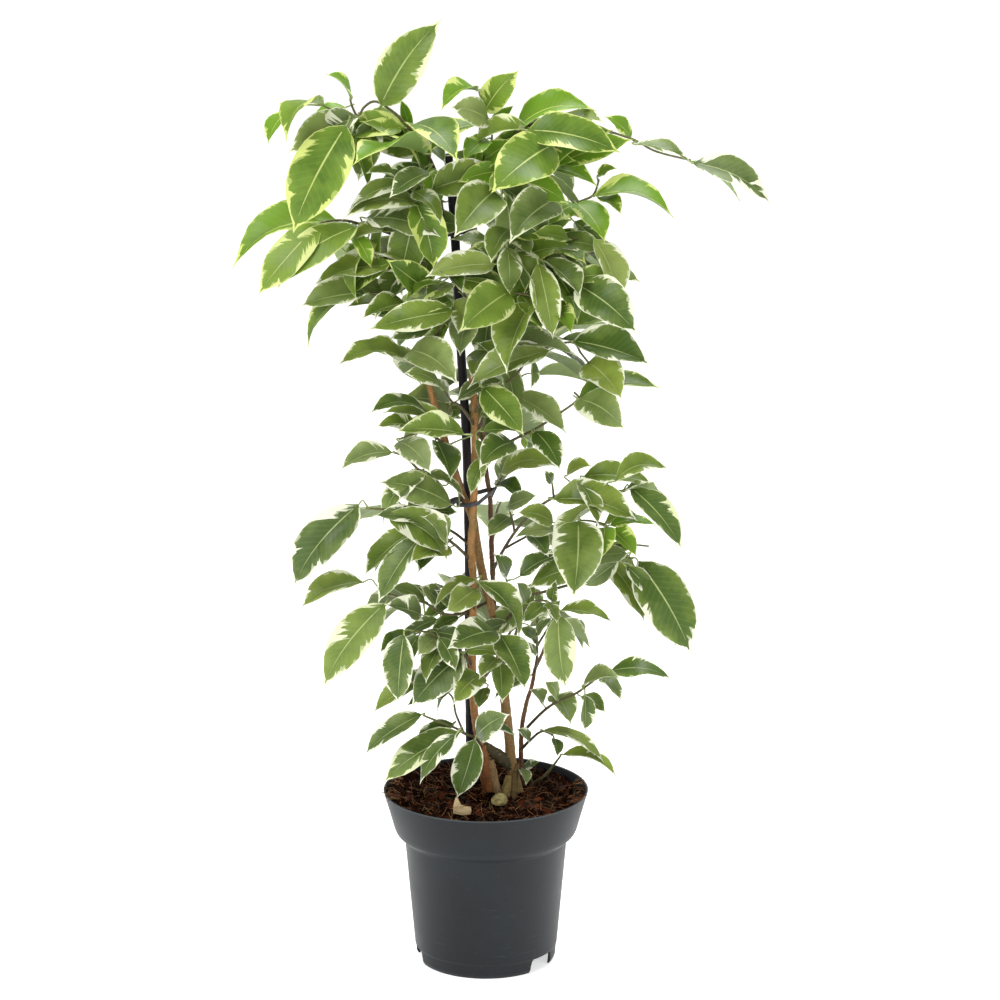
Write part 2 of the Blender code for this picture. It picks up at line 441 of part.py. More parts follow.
def revolved(profile, sides):
    # A closed solid from radius and height pairs, which start and end on the axis
    corners = [Vector((0, 0, profile[0][1]))]
    for radius, height in profile[1:-1]:
        for number in range(sides):
            angle = 2 * math.pi * number / sides
            corners.append(Vector((radius * math.cos(angle), radius * math.sin(angle), height)))
    corners.append(Vector((0, 0, profile[-1][1])))
    rings = len(profile) - 2
    faces = []
    for number in range(sides):
        after = (number + 1) % sides
        faces.append((0, 1 + after, 1 + number))
        for ring in range(rings - 1):
            a = 1 + ring * sides
            faces.append((a + number, a + after, a + sides + after, a + sides + number))
        a = 1 + (rings - 1) * sides
        faces.append((a + number, a + after, len(corners) - 1))
    return corners, faces


def bandRound(circles, heightAt, clear, thick, tall):
    # A closed band that hugs round stems: circles hold x, y and radius, and the outline is their hull
    sides = 14
    outlines = []
    for grow in (clear, clear + thick):
        supports = []
        for number in range(sides):
            angle = 2 * math.pi * number / sides
            reach = max(x * math.cos(angle) + y * math.sin(angle) + radius for x, y, radius in circles)
            supports.append((angle, reach + grow))
        outline = []
        for number in range(sides):
            a, reachA = supports[number]
            b, reachB = supports[(number + 1) % sides]
            turn = math.sin(b - a)
            x = (reachA * math.sin(b) - reachB * math.sin(a)) / turn
            y = (reachB * math.cos(a) - reachA * math.cos(b)) / turn
            outline.append((x, y))
        outlines.append(outline)
    corners = []
    for number in range(sides):
        for outline, lift in ((outlines[0], -0.5), (outlines[0], 0.5), (outlines[1], 0.5), (outlines[1], -0.5)):
            x, y = outline[number]
            corners.append(Vector((x, y, heightAt(x) + lift * tall)))
    faces = []
    for number in range(sides):
        a = number * 4
        b = (number + 1) % sides * 4
        for side in range(4):
            after = (side + 1) % 4
            faces.append((a + side, a + after, b + after, b + side))
    return corners, faces


def alongStem(name, row):
    # The place, radius and heading of a stem at a row of the picture
    path = stemPaths[name]
    points = stemPoints(path)
    for (low, high), a, b in zip(zip(path, path[1:]), points, points[1:]):
        if high[1] <= row <= low[1]:
            share = (low[1] - row) / (low[1] - high[1])
            radius = (low[3] + (high[3] - low[3]) * share) * mm
            return a.lerp(b, share), radius, (b - a).normalized()
    return points[-1], path[-1][3] * mm, (points[-1] - points[-2]).normalized()


def lineDistance(point, a, b):
    edge = b - a
    share = max(0.0, min(1.0, (point - a).dot(edge) / edge.length_squared))
    return (point - a - edge * share).length


def stemNear(point, name):
    # How far a place is from a stem's axis, and which way the stem runs there
    points = stemPoints(stemPaths[name])
    found = [(lineDistance(point, a, b), (b - a).normalized()) for a, b in zip(points, points[1:])]
    return min(found, key=lambda item: item[0])


def clearOfStem(points, name, radius, first):
    # Starts a twig just off its stem's bark, so that the two stay separate solids a hair apart
    while len(points) > 2 and stemNear(points[1], name)[0] < radius + gap + first + 0.8 * mm:
        points.pop(1)
    start = points[0]
    heading = points[1] - points[0]
    reach = heading.length
    heading.normalize()
    end = stemPoints(stemPaths[name])[-1]
    if (start - end).length < 0.1 * mm:
        run = stemNear(start, name)[1]
        return [start + heading * (gap + first * heading.cross(run).length)] + points[1:]
    moved = 0.0
    while moved < reach * 0.8:
        moved += 0.05 * mm
        away, run = stemNear(start + heading * moved, name)
        if away > radius + gap + first * abs(heading.dot(run)):
            break
    return [start + heading * moved] + points[1:]


def treeOf(shape):
    corners, faces = shape
    return BVHTree.FromPolygons(corners, faces)


def boxOf(corners):
    low = Vector((min(c.x for c in corners), min(c.y for c in corners), min(c.z for c in corners)))
    high = Vector((max(c.x for c in corners), max(c.y for c in corners), max(c.z for c in corners)))
    return low, high


def obstacle(kind, owner, shape):
    low, high = boxOf(shape[0])
    return dict(kind=kind, owner=owner, tree=treeOf(shape), low=low, high=high)


def meets(shape, tree, obstacles, wanted):
    # True where the shape's surface crosses an obstacle that wanted says to mind
    low, high = boxOf(shape[0])
    for item in obstacles:
        if (high.x < item["low"].x or low.x > item["high"].x or high.y < item["low"].y
                or low.y > item["high"].y or high.z < item["low"].z or low.z > item["high"].z):
            continue
        if wanted(item) and tree.overlap(item["tree"]):
            return True
    return False


def leafRows(leaf, grow):
    # Rows of four points, left, upper, right and lower, from the petiole's root to the last station
    attach, base, tip, face = leaf["attach"], leaf["base"], leaf["tip"], leaf["face"]
    width, droop, hidden = leaf["width"], leaf["droop"], leaf.get("hidden", False)
    chord = tip - base
    length = chord.length
    along = chord.normalized()
    across = along.cross(face).normalized()
    stations = hiddenStations if hidden else largeStations if length > largeLeaf else smallStations
    blade = []
    for share, breadth in stations:
        centre = base + chord * share + face * (droop * length * 4 * share * (1 - share))
        half = width / 2 * breadth + grow
        rise = face * (leafFold * width / 2 * breadth)
        thick = face * (leafThick / 2 * (1.0 if breadth > 0.5 else 0.75) + grow)
        blade.append((centre - across * half + rise, centre + thick, centre + across * half + rise, centre - thick))
    far = tip + along * grow
    stalk = base - attach
    reach = stalk.length
    points = [attach, base]
    if reach < 2.5 * mm:
        points = [attach]
    elif reach > 14 * mm or stalk.angle(along) > 1.0:
        bend = base - along * min(reach * 0.45, 5 * mm) - face * 0.3 * mm
        if (bend - attach).length > 1.6 * mm:
            points = [attach, bend, base]
    petiole = []
    heading = along
    side = across
    front = face
    for index in range(len(points) - 1, -1, -1):
        step = along
        if len(points) > 1:
            step = (points[max(index, 1)] - points[max(index, 1) - 1]).normalized()
        if 0 < index < len(points) - 1:
            step = (step + (points[index + 1] - points[index]).normalized()).normalized()
        if index and index == len(points) - 1:
            step = (step + along).normalized()
        turn = heading.rotation_difference(step)
        side = turn @ side
        front = turn @ front
        heading = step
        centre = points[index]
        radius = (petioleRadius if index else petioleRoot) + grow
        petiole.insert(0, (centre - side * radius, centre + front * radius, centre + side * radius,
                           centre - front * radius))
    return petiole, blade, far


def bladeFaces(rows, far, capStart):
    # Triangles that run alike on both faces of the blade, closed at the root and drawn to the tip
    corners = [corner for row in rows for corner in row]
    faces = [(3, 2, 1, 0)] if capStart else []
    for index in range(len(rows) - 1):
        a = index * 4
        b = a + 4
        for edge, middle in ((0, 1), (2, 1), (2, 3), (0, 3)):
            low = (a + edge, a + middle, b + middle)
            high = (a + edge, b + middle, b + edge)
            if (edge, middle) in ((2, 1), (0, 3)):
                low = low[::-1]
                high = high[::-1]
            faces += [low, high]
    a = (len(rows) - 1) * 4
    corners.append(far)
    last = len(corners) - 1
    for side in range(4):
        faces.append((a + side, a + (side + 1) % 4, last))
    return corners, faces


def leafShape(leaf, grow=0.0):
    petiole, blade, far = leafRows(leaf, grow)
    return bladeFaces(petiole + blade, far, True)


def leafParts(leaf, grow):
    # The blade and the petiole apart, for finding a place clear of everything else
    petiole, blade, far = leafRows(leaf, grow)
    bladePart = bladeFaces(petiole[-1:] + blade, far, True)
    corners = [corner for row in petiole for corner in row]
    faces = [(3, 2, 1, 0)]
    for index in range(len(petiole) - 1):
        for side in range(4):
            a = index * 4
            faces.append((a + side, a + (side + 1) % 4, a + 4 + (side + 1) % 4, a + 4 + side))
    last = len(corners)
    faces.append((last - 4, last - 3, last - 2, last - 1))
    return bladePart, (corners, faces)


def turnedFace(base, tip, turn):
    # The upper face's direction: at 0 it looks at the eye, and at 90 it looks up, edge on to the eye
    along = (tip - base).normalized()
    view = (eye - (base + tip) / 2).normalized()
    front = (view - along * view.dot(along)).normalized()
    up = along.cross(front)
    if up.z < 0:
        up = -up
    angle = math.radians(turn)
    return (front * math.cos(angle) + up * math.sin(angle)).normalized()


def nearestOnTwigs(twigs, column, row):
    # The place on a spray's twigs that the picture shows nearest to this column and row
    best = None
    for twig in twigs:
        seenPoints = [pictureOf(point) for point in twig["points"]]
        for index in range(len(seenPoints) - 1):
            (ax, ay), (bx, by) = seenPoints[index], seenPoints[index + 1]
            squared = (bx - ax) ** 2 + (by - ay) ** 2
            share = ((column - ax) * (bx - ax) + (row - ay) * (by - ay)) / max(squared, 1e-9)
            share = max(0.04, min(0.98 if index < len(seenPoints) - 2 else 0.9, share))
            away = math.hypot(column - ax - (bx - ax) * share, row - ay - (by - ay) * share)
            if best is None or away < best[0]:
                best = (away, twig["points"][index].lerp(twig["points"][index + 1], share))
    return best[1]


def searchOrder():
    # Small changes of depth, turn and lean, the least first
    found = []
    for shift in (0, -3, 3, -6, 6, -9, 9, -13, 13, -17, 17, -22, 22, -28, 28):
        for turn in (0, -14, 14, -28, 28):
            for lean in (0, -0.2, 0.2, -0.4, 0.4):
                cost = abs(shift) / 6 + abs(turn) / 12 + abs(lean) / 0.25
                found.append((cost, shift, turn, lean))
    return sorted(found, key=lambda item: item[0])


def crossesItself(shape):
    # True where two faces that share no corner cross
    corners, faces = shape
    tree = treeOf(shape)
    for a, b in tree.overlap(tree):
        if a < b and not set(faces[a]) & set(faces[b]):
            return True
    return False


def clearLeaf(owner, candidates, obstacles):
    # The first candidate that keeps its gap, or the first that crosses only its own spray
    fallback = None
    for leaf in candidates:
        bladePart, petiolePart = leafParts(leaf, gap + 0.1 * mm)
        bladeTree = treeOf(bladePart)
        petioleTree = treeOf(petiolePart)

        def foreign(item):
            return item["owner"] != owner

        def own(item):
            return item["owner"] == owner

        def ownBlade(item):
            return item["owner"] == owner and item["kind"] == "blade"

        if meets(bladePart, bladeTree, obstacles, foreign) or meets(petiolePart, petioleTree, obstacles, foreign):
            continue
        if meets(bladePart, bladeTree, obstacles, own) or meets(petiolePart, petioleTree, obstacles, ownBlade):
            fallback = fallback or (None if crossesItself(leafShape(leaf)) else leaf)
            continue
        if crossesItself(leafShape(leaf)):
            continue
        return leaf, "clear"
    return fallback, "crosses its spray"


def addLeaf(leaf, owner, obstacles):
    bladePart, petiolePart = leafParts(leaf, 0.0)
    obstacles.append(obstacle("blade", owner, bladePart))
    obstacles.append(obstacle("petiole", owner, petiolePart))


def pictureLeaf(twigs, row, shift, turn, lean):
    # One leaf from its line in the table, moved by the search's shift, turn and lean
    column0, row0, column1, row1, shown, roll, droop, ahead, tone = row
    attach = nearestOnTwigs(twigs, column0, row0)
    depth = attach.y / mm + ahead + shift
    base = placeOf(column0, row0, depth)
    flat = (placeOf(column1, row1, depth) - base).length
    roll = roll + turn
    width = shown * 0.594 * mm / max(math.cos(math.radians(roll)), 0.3)
    length = min(max(flat, width / 0.52), flat * 1.45, 74 * mm)
    length = max(length, flat)
    width = max(min(width, length * 0.52), length * 0.36, 4 * mm)
    toward = -math.sqrt(max(length ** 2 - flat ** 2, 0.0)) + flat * (lean - 0.12)
    tip = placeOf(column1, row1, depth + toward / mm)
    return dict(attach=attach, base=base, tip=tip, face=turnedFace(base, tip, roll), width=width,
                droop=droop / 100, tone=tone)


def twigPoints(places, start, shift, ramp):
    points = [start]
    for index, (column, row, depth) in enumerate(places):
        amount = shift * (index + 1) / len(places) if ramp else shift
        points.append(placeOf(column, row, depth + amount))
    return points


def twigShape(twig, grow=0.0):
    return tube(twig["points"], [radius + grow for radius in twig["radii"]], twigSides)


def taper(count, first, last):
    return [first + (last - first) * index / max(count - 1, 1) for index in range(count)]


def placeTwigs(name, spray, obstacles):
    # The spray's twigs, shifted in depth until they pass everything that is there already
    stem, row = spray["root"]
    best = None
    for shift in (0, -3, 3, -6, 6, -10, 10, -14, 14, -20, 20):
        for ramp in (True, False):
            twigs = []
            if stem == "soil":
                points = [placeOf(*place) for place in spray["twigs"][0]]
                points[0] = points[1] - Vector((0, 0, 9 * mm))
            else:
                start, radius, heading = alongStem(stem, row)
                points = twigPoints(spray["twigs"][0], start, shift, ramp)
                points = clearOfStem(points, stem, radius, twigRadius)
            twigs.append(dict(points=points, radii=taper(len(points), twigRadius, 0.6 * mm)))
            for places in spray["twigs"][1:]:
                column, line = places[0][0], places[0][1]
                joint = nearestOnTwigs(twigs[:1], column, line)
                moved = joint.y / mm - places[0][2]
                points = [joint] + [placeOf(c, r, d + moved) for c, r, d in places[1:]]
                twigs.append(dict(points=points, radii=taper(len(points), 0.75 * mm, 0.55 * mm)))
            clear = True
            for twig in twigs:
                shape = twigShape(twig, gap)
                if stem == "soil":
                    clear = clear and not meets(shape, treeOf(shape), obstacles, lambda item: item["kind"] != "soil")
                else:
                    mind = [item for item in obstacles if item["kind"] != stem]
                    clear = clear and not meets(shape, treeOf(shape), mind, lambda item: True)
            if clear:
                return twigs, True
            best = best or twigs
    return best, False


def hiddenTwigs(stem, row, heading, reach):
    # A twig that leaves the back of the plant, climbs and then bows under its leaves
    start, radius, along = alongStem(stem, row)
    angle = math.radians(heading)
    out = Vector((math.sin(angle), math.cos(angle), 0))
    points = [start]
    for share, climb in ((0.3, 0.18), (0.62, 0.26), (1.0, 0.24)):
        points.append(start + out * (reach * mm * share) + Vector((0, 0, reach * mm * climb)))
    points = clearOfStem(points, stem, radius, twigRadius)
    return [dict(points=points, radii=taper(len(points), twigRadius, 0.6 * mm))]


def hiddenLeaf(twigs, share, side, draw, out, change):
    points = twigs[0]["points"]
    position = share * (len(points) - 1)
    index = min(int(position), len(points) - 2)
    most = 0.88 if index == len(points) - 2 else 1.0
    attach = points[index].lerp(points[index + 1], max(0.05, min(most, position - index)))
    along = (points[index + 1] - points[index]).normalized()
    sideways = along.cross(Vector((0, 0, 1))).normalized() * side
    length = (40 + 16 * draw[0]) * mm
    down = 0.25 + 0.75 * draw[1] + change[0]
    spread = (0.5 + 0.5 * draw[2] + change[1]) * (0.15 if share > 0.97 else 1.0)
    chord = (out * (1.0 if share > 0.97 else 0.6) + sideways * spread - Vector((0, 0, down))).normalized()
    stalk = (out * 0.4 + sideways * spread + Vector((0, 0, 0.15 + change[2]))).normalized()
    base = attach + stalk * ((8 + 4 * draw[3]) * mm)
    tip = base + chord * length
    up = Vector((0, 0, 1)) + out * 0.5 + sideways * (0.6 * draw[4] - 0.3)
    face = (up - chord * up.dot(chord)).normalized()
    return dict(attach=attach, base=base, tip=tip, face=face, width=length * 0.46, droop=0.08, hidden=True,
                tone="dmcm"[int(draw[0] * 3.99)])


def outlineOf(leaf):
    petiole, blade, far = leafRows(leaf, 0.0)
    return [leaf["base"]] + [row[0] for row in blade] + [far] + [row[2] for row in blade[::-1]]


def inside(place, outline):
    # Counts the outline's edges to the right of the place
    found = False
    x, y = place
    for (ax, ay), (bx, by) in zip(outline, outline[1:] + outline[:1]):
        if (ay > y) != (by > y) and x < ax + (bx - ax) * (y - ay) / (by - ay):
            found = not found
    return found


def hiddenShare(leaf, outlines):
    # How much of a leaf the leaves in front of it cover in the photograph's view
    corners = outlineOf(leaf)
    middle = (leaf["base"] + leaf["tip"]) / 2
    places = [pictureOf(corner) for corner in corners + [corner.lerp(middle, 0.5) for corner in corners]]
    hidden = sum(any(inside(place, outline) for outline in outlines) for place in places)
    return hidden / len(places)


def solidShapes():
    # The plain solids that every twig and leaf has to clear, as kind and shape
    shapes = []
    for name, path in stemPaths.items():
        shapes.append((name, tube(stemPoints(path), stemRadii(path), stemSides)))
    for path in (archPath, legPath):
        shapes.append(("front", tube(stemPoints(path), stemRadii(path), stemSides)))
    shapes.append(("cane", tube(stemPoints(canePath), stemRadii(canePath), caneSides)))
    shapes.append(("tie", tieShape(lowerTieRow, ("front", "middle", "back"))))
    shapes.append(("tie", tieShape(upperTieRow, ("middle", "back"))))
    shapes.append(("pot", potShape()))
    shapes.append(("soil", soilTop(0.0)))
    shapes.append(("chip", chipShape()))
    shapes.append(("chip", nubShape()))
    return shapes


def potProfile():
    # Half of the pot's section: foot disc, raised channel, skirt, outer wall, collar and inner wall
    roof = channelRoof
    return [
        (0, 0), (footDisc, 0), (channelInner, roof), (baseRadius - wall, roof), (39.3 * mm, 0), (40.4 * mm, 0),
        (baseRadius - 0.4 * mm, 2.2 * mm), (baseRadius, roof), (baseRadius + 0.5 * mm, roof + 1.0 * mm),
        (bodyTopRadius, bodyTop), (collarFootRadius - 1.0 * mm, collarFoot - 2.6 * mm),
        (collarFootRadius, collarFoot), (rimRadius, rimHeight),
        (rimRadius - wall, rimHeight), (collarFootRadius - wall, collarFoot),
        (bodyTopRadius - wall, bodyTop + 1.6 * mm), (baseRadius + 0.5 * mm - wall, roof + wall),
        (channelInner - 1.2 * mm, roof + wall), (footDisc - 1.2 * mm, wall), (0, wall)]


def potShape():
    corners, faces = revolved(potProfile(), potSides)
    return [pinched(corner) for corner in corners], faces


def soilUnder(x, y):
    # The height of the soil's faceted surface straight below a place
    hit = treeOf(soilTop(0.0)).ray_cast(Vector((x, y, 0.2)), Vector((0, 0, -1)))
    return hit[0].z


def chipShape():
    # A hooked chip of pale bark that lies against the soil near the front of the rim
    outline = [(452, 816), (452, 811), (453, 805), (455, 799), (457, 802), (459, 807), (464, 809), (470, 809),
               (470, 817), (461, 818)]
    front = [placeOf(column, row, -36) for column, row in outline]
    back = [placeOf(column, row, -32) for column, row in outline]
    corners = front + back
    low = min(corner.z for corner in corners)
    ground = max(soilUnder(corner.x, corner.y) for corner in corners)
    corners = [corner + Vector((0, 0, ground + gap - low)) for corner in corners]
    count = len(outline)
    faces = [tuple(range(count)), tuple(range(count, 2 * count))[::-1]]
    for number in range(count):
        after = (number + 1) % count
        faces.append((after, number, count + number, count + after))
    return corners, faces


def nubShape():
    # A rounded nub of old wood that lies in front of the stems
    centre = placeOf(498.5, 806, -14)
    profile = [(0, 0), (4.4 * mm, 0), (5.0 * mm, 1.6 * mm), (4.3 * mm, 4.2 * mm), (2.4 * mm, 6.0 * mm),
               (0, 6.6 * mm)]
    corners, faces = revolved(profile, 10)
    ground = max(soilUnder(centre.x + corner.x, centre.y + corner.y) for corner in corners)
    lift = Vector((centre.x, centre.y, ground + gap))
    return [corner + lift for corner in corners], faces


def tieShape(row, names):
    circles = []
    heights = []
    for name in names:
        for aside in (-4, 0, 4):
            point, radius, heading = alongStem(name, row + aside)
            circles.append((point.x, point.y, radius))
        point, radius, heading = alongStem(name, row)
        heights.append((point.x, point.z))
    cane = stemPoints(canePath)
    for low, high in zip(canePath, canePath[1:]):
        if low[1] <= row <= high[1]:
            share = (row - low[1]) / (high[1] - low[1])
            point = placeOf(low[0], low[1], low[2]).lerp(placeOf(high[0], high[1], high[2]), share)
            circles.append((point.x, point.y, caneRadius))
            heights.append((point.x, point.z))
    middle = sum(height for x, height in heights) / len(heights)
    centre = sum(x for x, height in heights) / len(heights)
    slope = 0.22 if row == lowerTieRow else 0.05
    return bandRound(circles, lambda x: middle + (x - centre) * slope, gap + 0.25 * mm, tieThick, tieHeight)


def soilTop(lift):
    # The soil's upper surface as rings round the pot's axis, the last one just inside the wall
    corners = [Vector((0, 0, soilHeight(0, 0) + lift))]
    for ring in range(1, soilRings + 1):
        offset = 0.5 * ((soilRings - ring) % 2)
        for number in range(potSides):
            angle = 2 * math.pi * (number + offset) / potSides
            reach = (innerRadius(soilLevel) - soilGap) * ring / soilRings
            height = soilHeight(reach * math.cos(angle), reach * math.sin(angle)) + lift
            if ring == soilRings:
                reach = innerRadius(height) - soilGap
            corners.append(pinched(Vector((reach * math.cos(angle), reach * math.sin(angle), height))))
    faces = []
    for number in range(potSides):
        after = (number + 1) % potSides
        faces.append((0, 1 + number, 1 + after))
        for ring in range(1, soilRings):
            a = 1 + (ring - 1) * potSides
            b = a + potSides
            if (soilRings - ring) % 2:
                faces += [(b + number, b + after, a + number), (a + number, b + after, a + after)]
            else:
                faces += [(a + number, b + number, a + after), (b + number, b + after, a + after)]
    return corners, faces


def layPlant():
    # Places every twig and leaf, the photograph's first and then the hidden ones
    obstacles = [obstacle(kind, kind, shape) for kind, shape in solidShapes()]
    placed = {}
    for name, spray in sprays.items():
        twigs, clear = placeTwigs(name, spray, obstacles)
        if not clear:
            print("twig not clear", name)
        placed[name] = dict(twigs=twigs, leaves=[], root=spray["root"])
        for twig in twigs:
            obstacles.append(obstacle("twig", name, twigShape(twig)))
    order = searchOrder()
    for name, spray in sprays.items():
        twigs = placed[name]["twigs"]
        for row in spray["leaves"]:
            candidates = (pictureLeaf(twigs, row, shift, turn, lean) for cost, shift, turn, lean in order)
            leaf, state = clearLeaf(name, candidates, obstacles)
            if leaf is None:
                print("no room for", name, row)
                continue
            if state != "clear":
                print(state, name, row)
            placed[name]["leaves"].append(leaf)
            addLeaf(leaf, name, obstacles)
    outlines = [[pictureOf(corner) for corner in outlineOf(leaf)]
                for spray in placed.values() for leaf in spray["leaves"]]
    outlines += denseParts
    random.seed(41)
    for number, (stem, row, heading, reach) in enumerate(hiddenSprays):
        name = "back_%02d" % (number + 1)
        out = Vector((math.sin(math.radians(heading)), math.cos(math.radians(heading)), 0))
        for turn in (0, 8, -8, 16, -16, 24, -24):
            twigs = hiddenTwigs(stem, row, heading + turn, reach)
            shape = twigShape(twigs[0], gap)
            mind = [item for item in obstacles if item["kind"] != stem]
            if not meets(shape, treeOf(shape), mind, lambda item: True):
                break
        else:
            print("no room for twig", name)
            continue
        found = []
        obstacles.append(obstacle("twig", name, twigShape(twigs[0])))
        for share, side in ((0.42, 1), (0.55, -1), (0.68, 1), (0.8, -1), (0.9, 1), (1.0, -1)):
            draw = [random.random() for _ in range(5)]
            choices = []
            for droop in (0, 0.3, -0.3, 0.6):
                for spread in (0, 0.3, -0.3):
                    for climb in (0, 0.3, -0.3):
                        leaf = hiddenLeaf(twigs, share, side, draw, out, (droop, spread, climb))
                        if hiddenShare(leaf, outlines) > 0.72:
                            choices.append(leaf)
            leaf, state = clearLeaf(name, choices, obstacles)
            if leaf is None or state != "clear":
                continue
            found.append(leaf)
            addLeaf(leaf, name, obstacles)
        if len(found) < 2:
            obstacles = [item for item in obstacles if item["owner"] != name]
            print("too few leaves", name)
            continue
        placed[name] = dict(twigs=twigs, leaves=found, root=(stem, row))
    return placed

# Colours, as sRGB hex
colours = dict(leafLight="#7fa348", leafMid="#5f8244", leafDark="#3c5a2c", leafGrey="#7b8f6c", leafCream="#b5bd84",
               bark="#9a6438", darkBark="#6b4630", cane="#17161a", tie="#4a4a4e", pot="#3f4347", soil="#3a2318",
               chip="#c2a878", nub="#a89a62")
toneNames = dict(b="leafLight", y="leafLight", m="leafMid", d="leafDark", g="leafGrey", c="leafCream")


def linear(colour):
    # sRGB hex to linear red, green, blue and alpha
    parts = []
    for start in (1, 3, 5):
        value = int(colour[start:start + 2], 16) / 255
        parts.append(value / 12.92 if value <= 0.04045 else ((value + 0.055) / 1.055) ** 2.4)
    return (*parts, 1.0)


def material(name, colour, roughness):
    made = bpy.data.materials.new(name)
    made.use_nodes = True
    shader = made.node_tree.nodes["Principled BSDF"]
    shader.inputs["Base Color"].default_value = linear(colour)
    shader.inputs["Roughness"].default_value = roughness
    return made


def solid(name, shape, collection=None):
    corners, faces = shape
    mesh = bpy.data.meshes.new(name)
    mesh.from_pydata([tuple(corner) for corner in corners], [], [list(face) for face in faces])
    body = bmesh.new()
    body.from_mesh(mesh)
    bmesh.ops.recalc_face_normals(body, faces=body.faces)
    body.to_mesh(mesh)
    body.free()
    made = bpy.data.objects.new(name, mesh)
    (collection or bpy.context.scene.collection).objects.link(made)
    return made


def applied(made):
    # Replaces an object's data with the mesh that its modifiers or its bevel make
    bpy.context.view_layer.update()
    seen = made.evaluated_get(bpy.context.evaluated_depsgraph_get())
    mesh = bpy.data.meshes.new_from_object(seen)
    if made.type == "MESH":
        made.modifiers.clear()
        made.data = mesh
        return made
    fresh = bpy.data.objects.new(made.name, mesh)
    bpy.context.scene.collection.objects.link(fresh)
    bpy.data.objects.remove(made)
    return fresh


def turnedSolid(name, profile, sides):
    # A profile at +X, run down its outer side and screwed round Z
    mesh = bpy.data.meshes.new(name)
    places = [(radius, 0, height) for radius, height in profile[::-1]]
    mesh.from_pydata(places, [(index, index + 1) for index in range(len(places) - 1)], [])
    made = bpy.data.objects.new(name, mesh)
    bpy.context.scene.collection.objects.link(made)
    screw = made.modifiers.new("turn", "SCREW")
    screw.steps = sides
    screw.render_steps = sides
    screw.use_merge_vertices = True
    screw.merge_threshold = 0.00002
    return applied(made)


def rodSolid(name, points, radius):
    # A round rod along the points: a curve with a bevel and filled caps
    curve = bpy.data.curves.new(name, "CURVE")
    curve.dimensions = "3D"
    curve.bevel_depth = radius
    curve.bevel_resolution = 2
    curve.use_fill_caps = True
    line = curve.splines.new("POLY")
    line.points.add(len(points) - 1)
    for spot, point in zip(line.points, points):
        spot.co = (*point, 1)
    made = bpy.data.objects.new(name, curve)
    bpy.context.scene.collection.objects.link(made)
    made = applied(made)
    body = bmesh.new()
    body.from_mesh(made.data)
    bmesh.ops.remove_doubles(body, verts=body.verts, dist=0.00001)
    body.to_mesh(made.data)
    body.free()
    return made


def combine(base, shapes, operation, solver):
    # Joins or cuts every shape from the base in one Boolean, then removes the helpers
    group = bpy.data.collections.new(base.name + " parts")
    bpy.context.scene.collection.children.link(group)
    helpers = [solid(base.name + " helper", shape, group) for shape in shapes]
    change = base.modifiers.new("join", "BOOLEAN")
    change.operation = operation
    change.operand_type = "COLLECTION"
    change.collection = group
    change.solver = solver
    applied(base)
    for helper in helpers:
        used = helper.data
        bpy.data.objects.remove(helper)
        bpy.data.meshes.remove(used)
    bpy.data.collections.remove(group)


def closedAndClear(mesh):
    # True if every edge joins two faces, the faces hold together as one body, and no faces cross
    used = {}
    for face in mesh.polygons:
        for edge in face.edge_keys:
            used.setdefault(edge, []).append(face.index)
    if any(len(faces) != 2 for faces in used.values()):
        return False
    beside = [[] for face in mesh.polygons]
    for first, second in used.values():
        beside[first].append(second)
        beside[second].append(first)
    reached = {0}
    waiting = [0]
    while waiting:
        for number in beside[waiting.pop()]:
            if number not in reached:
                reached.add(number)
                waiting.append(number)
    if len(reached) < len(mesh.polygons):
        return False
    corners = [corner.co.copy() for corner in mesh.vertices]
    return not crossesItself((corners, [tuple(face.vertices) for face in mesh.polygons]))


def tidied(mesh, weld, sliver):
    # A copy that is welded, freed of slivers, split into triangles and turned outward
    made = mesh.copy()
    body = bmesh.new()
    body.from_mesh(made)
    if weld:
        bmesh.ops.remove_doubles(body, verts=body.verts, dist=weld)
    if sliver:
        bmesh.ops.dissolve_degenerate(body, edges=body.edges, dist=sliver)
    bmesh.ops.triangulate(body, faces=body.faces)
    bmesh.ops.recalc_face_normals(body, faces=body.faces)
    body.to_mesh(made)
    body.free()
    made.materials.clear()
    return made


def thinned(made, ratio):
    # Collapses the least edges until this share of the faces is left
    change = made.modifiers.new("thin", "DECIMATE")
    change.ratio = ratio
    return applied(made).data


def tidy(made, thin):
    # Keeps the lightest version that is still closed and free of crossing faces
    start = made.data
    for ratio in (thin, 0.5 + thin / 2, 1.0) if thin < 1 else (1.0,):
        for weld, sliver in ((0.000002, 0.00006), (0.000001, 0.0), (0.0, 0.0)):
            made.data = tidied(start, weld, sliver)
            if ratio < 1:
                made.data = tidied(thinned(made, ratio), 0.0, 0.0)
            if closedAndClear(made.data):
                return True
    return False


def finish(made, name, colour, roughness, thin=1.0):
    made.name = name
    sound = tidy(made, thin)
    made.data.name = name
    made.data.materials.append(material(name + " colour", colour, roughness))
    print(name, len(made.data.polygons), "open edges", 0 if sound else 1)


def holeShape(path, deep=0.0):
    # The part of a stem near the soil, made wider by the gap and longer at its lower end
    points = stemPoints(path)
    radii = [radius + gap + 0.05 * mm for radius in stemRadii(path)]
    down = (points[0] - points[1]).normalized()
    points[0] = points[0] + down * (gap + 0.1 * mm)
    keep = next((index for index, point in enumerate(points) if point.z > soilLevel + 12 * mm), len(points) - 1)
    return tube(points[:keep + 1], radii[:keep + 1], stemSides)


def sprayShapes(spray):
    shapes = [twigShape(twig) for twig in spray["twigs"]]
    return shapes + [leafShape(leaf) for leaf in spray["leaves"]]


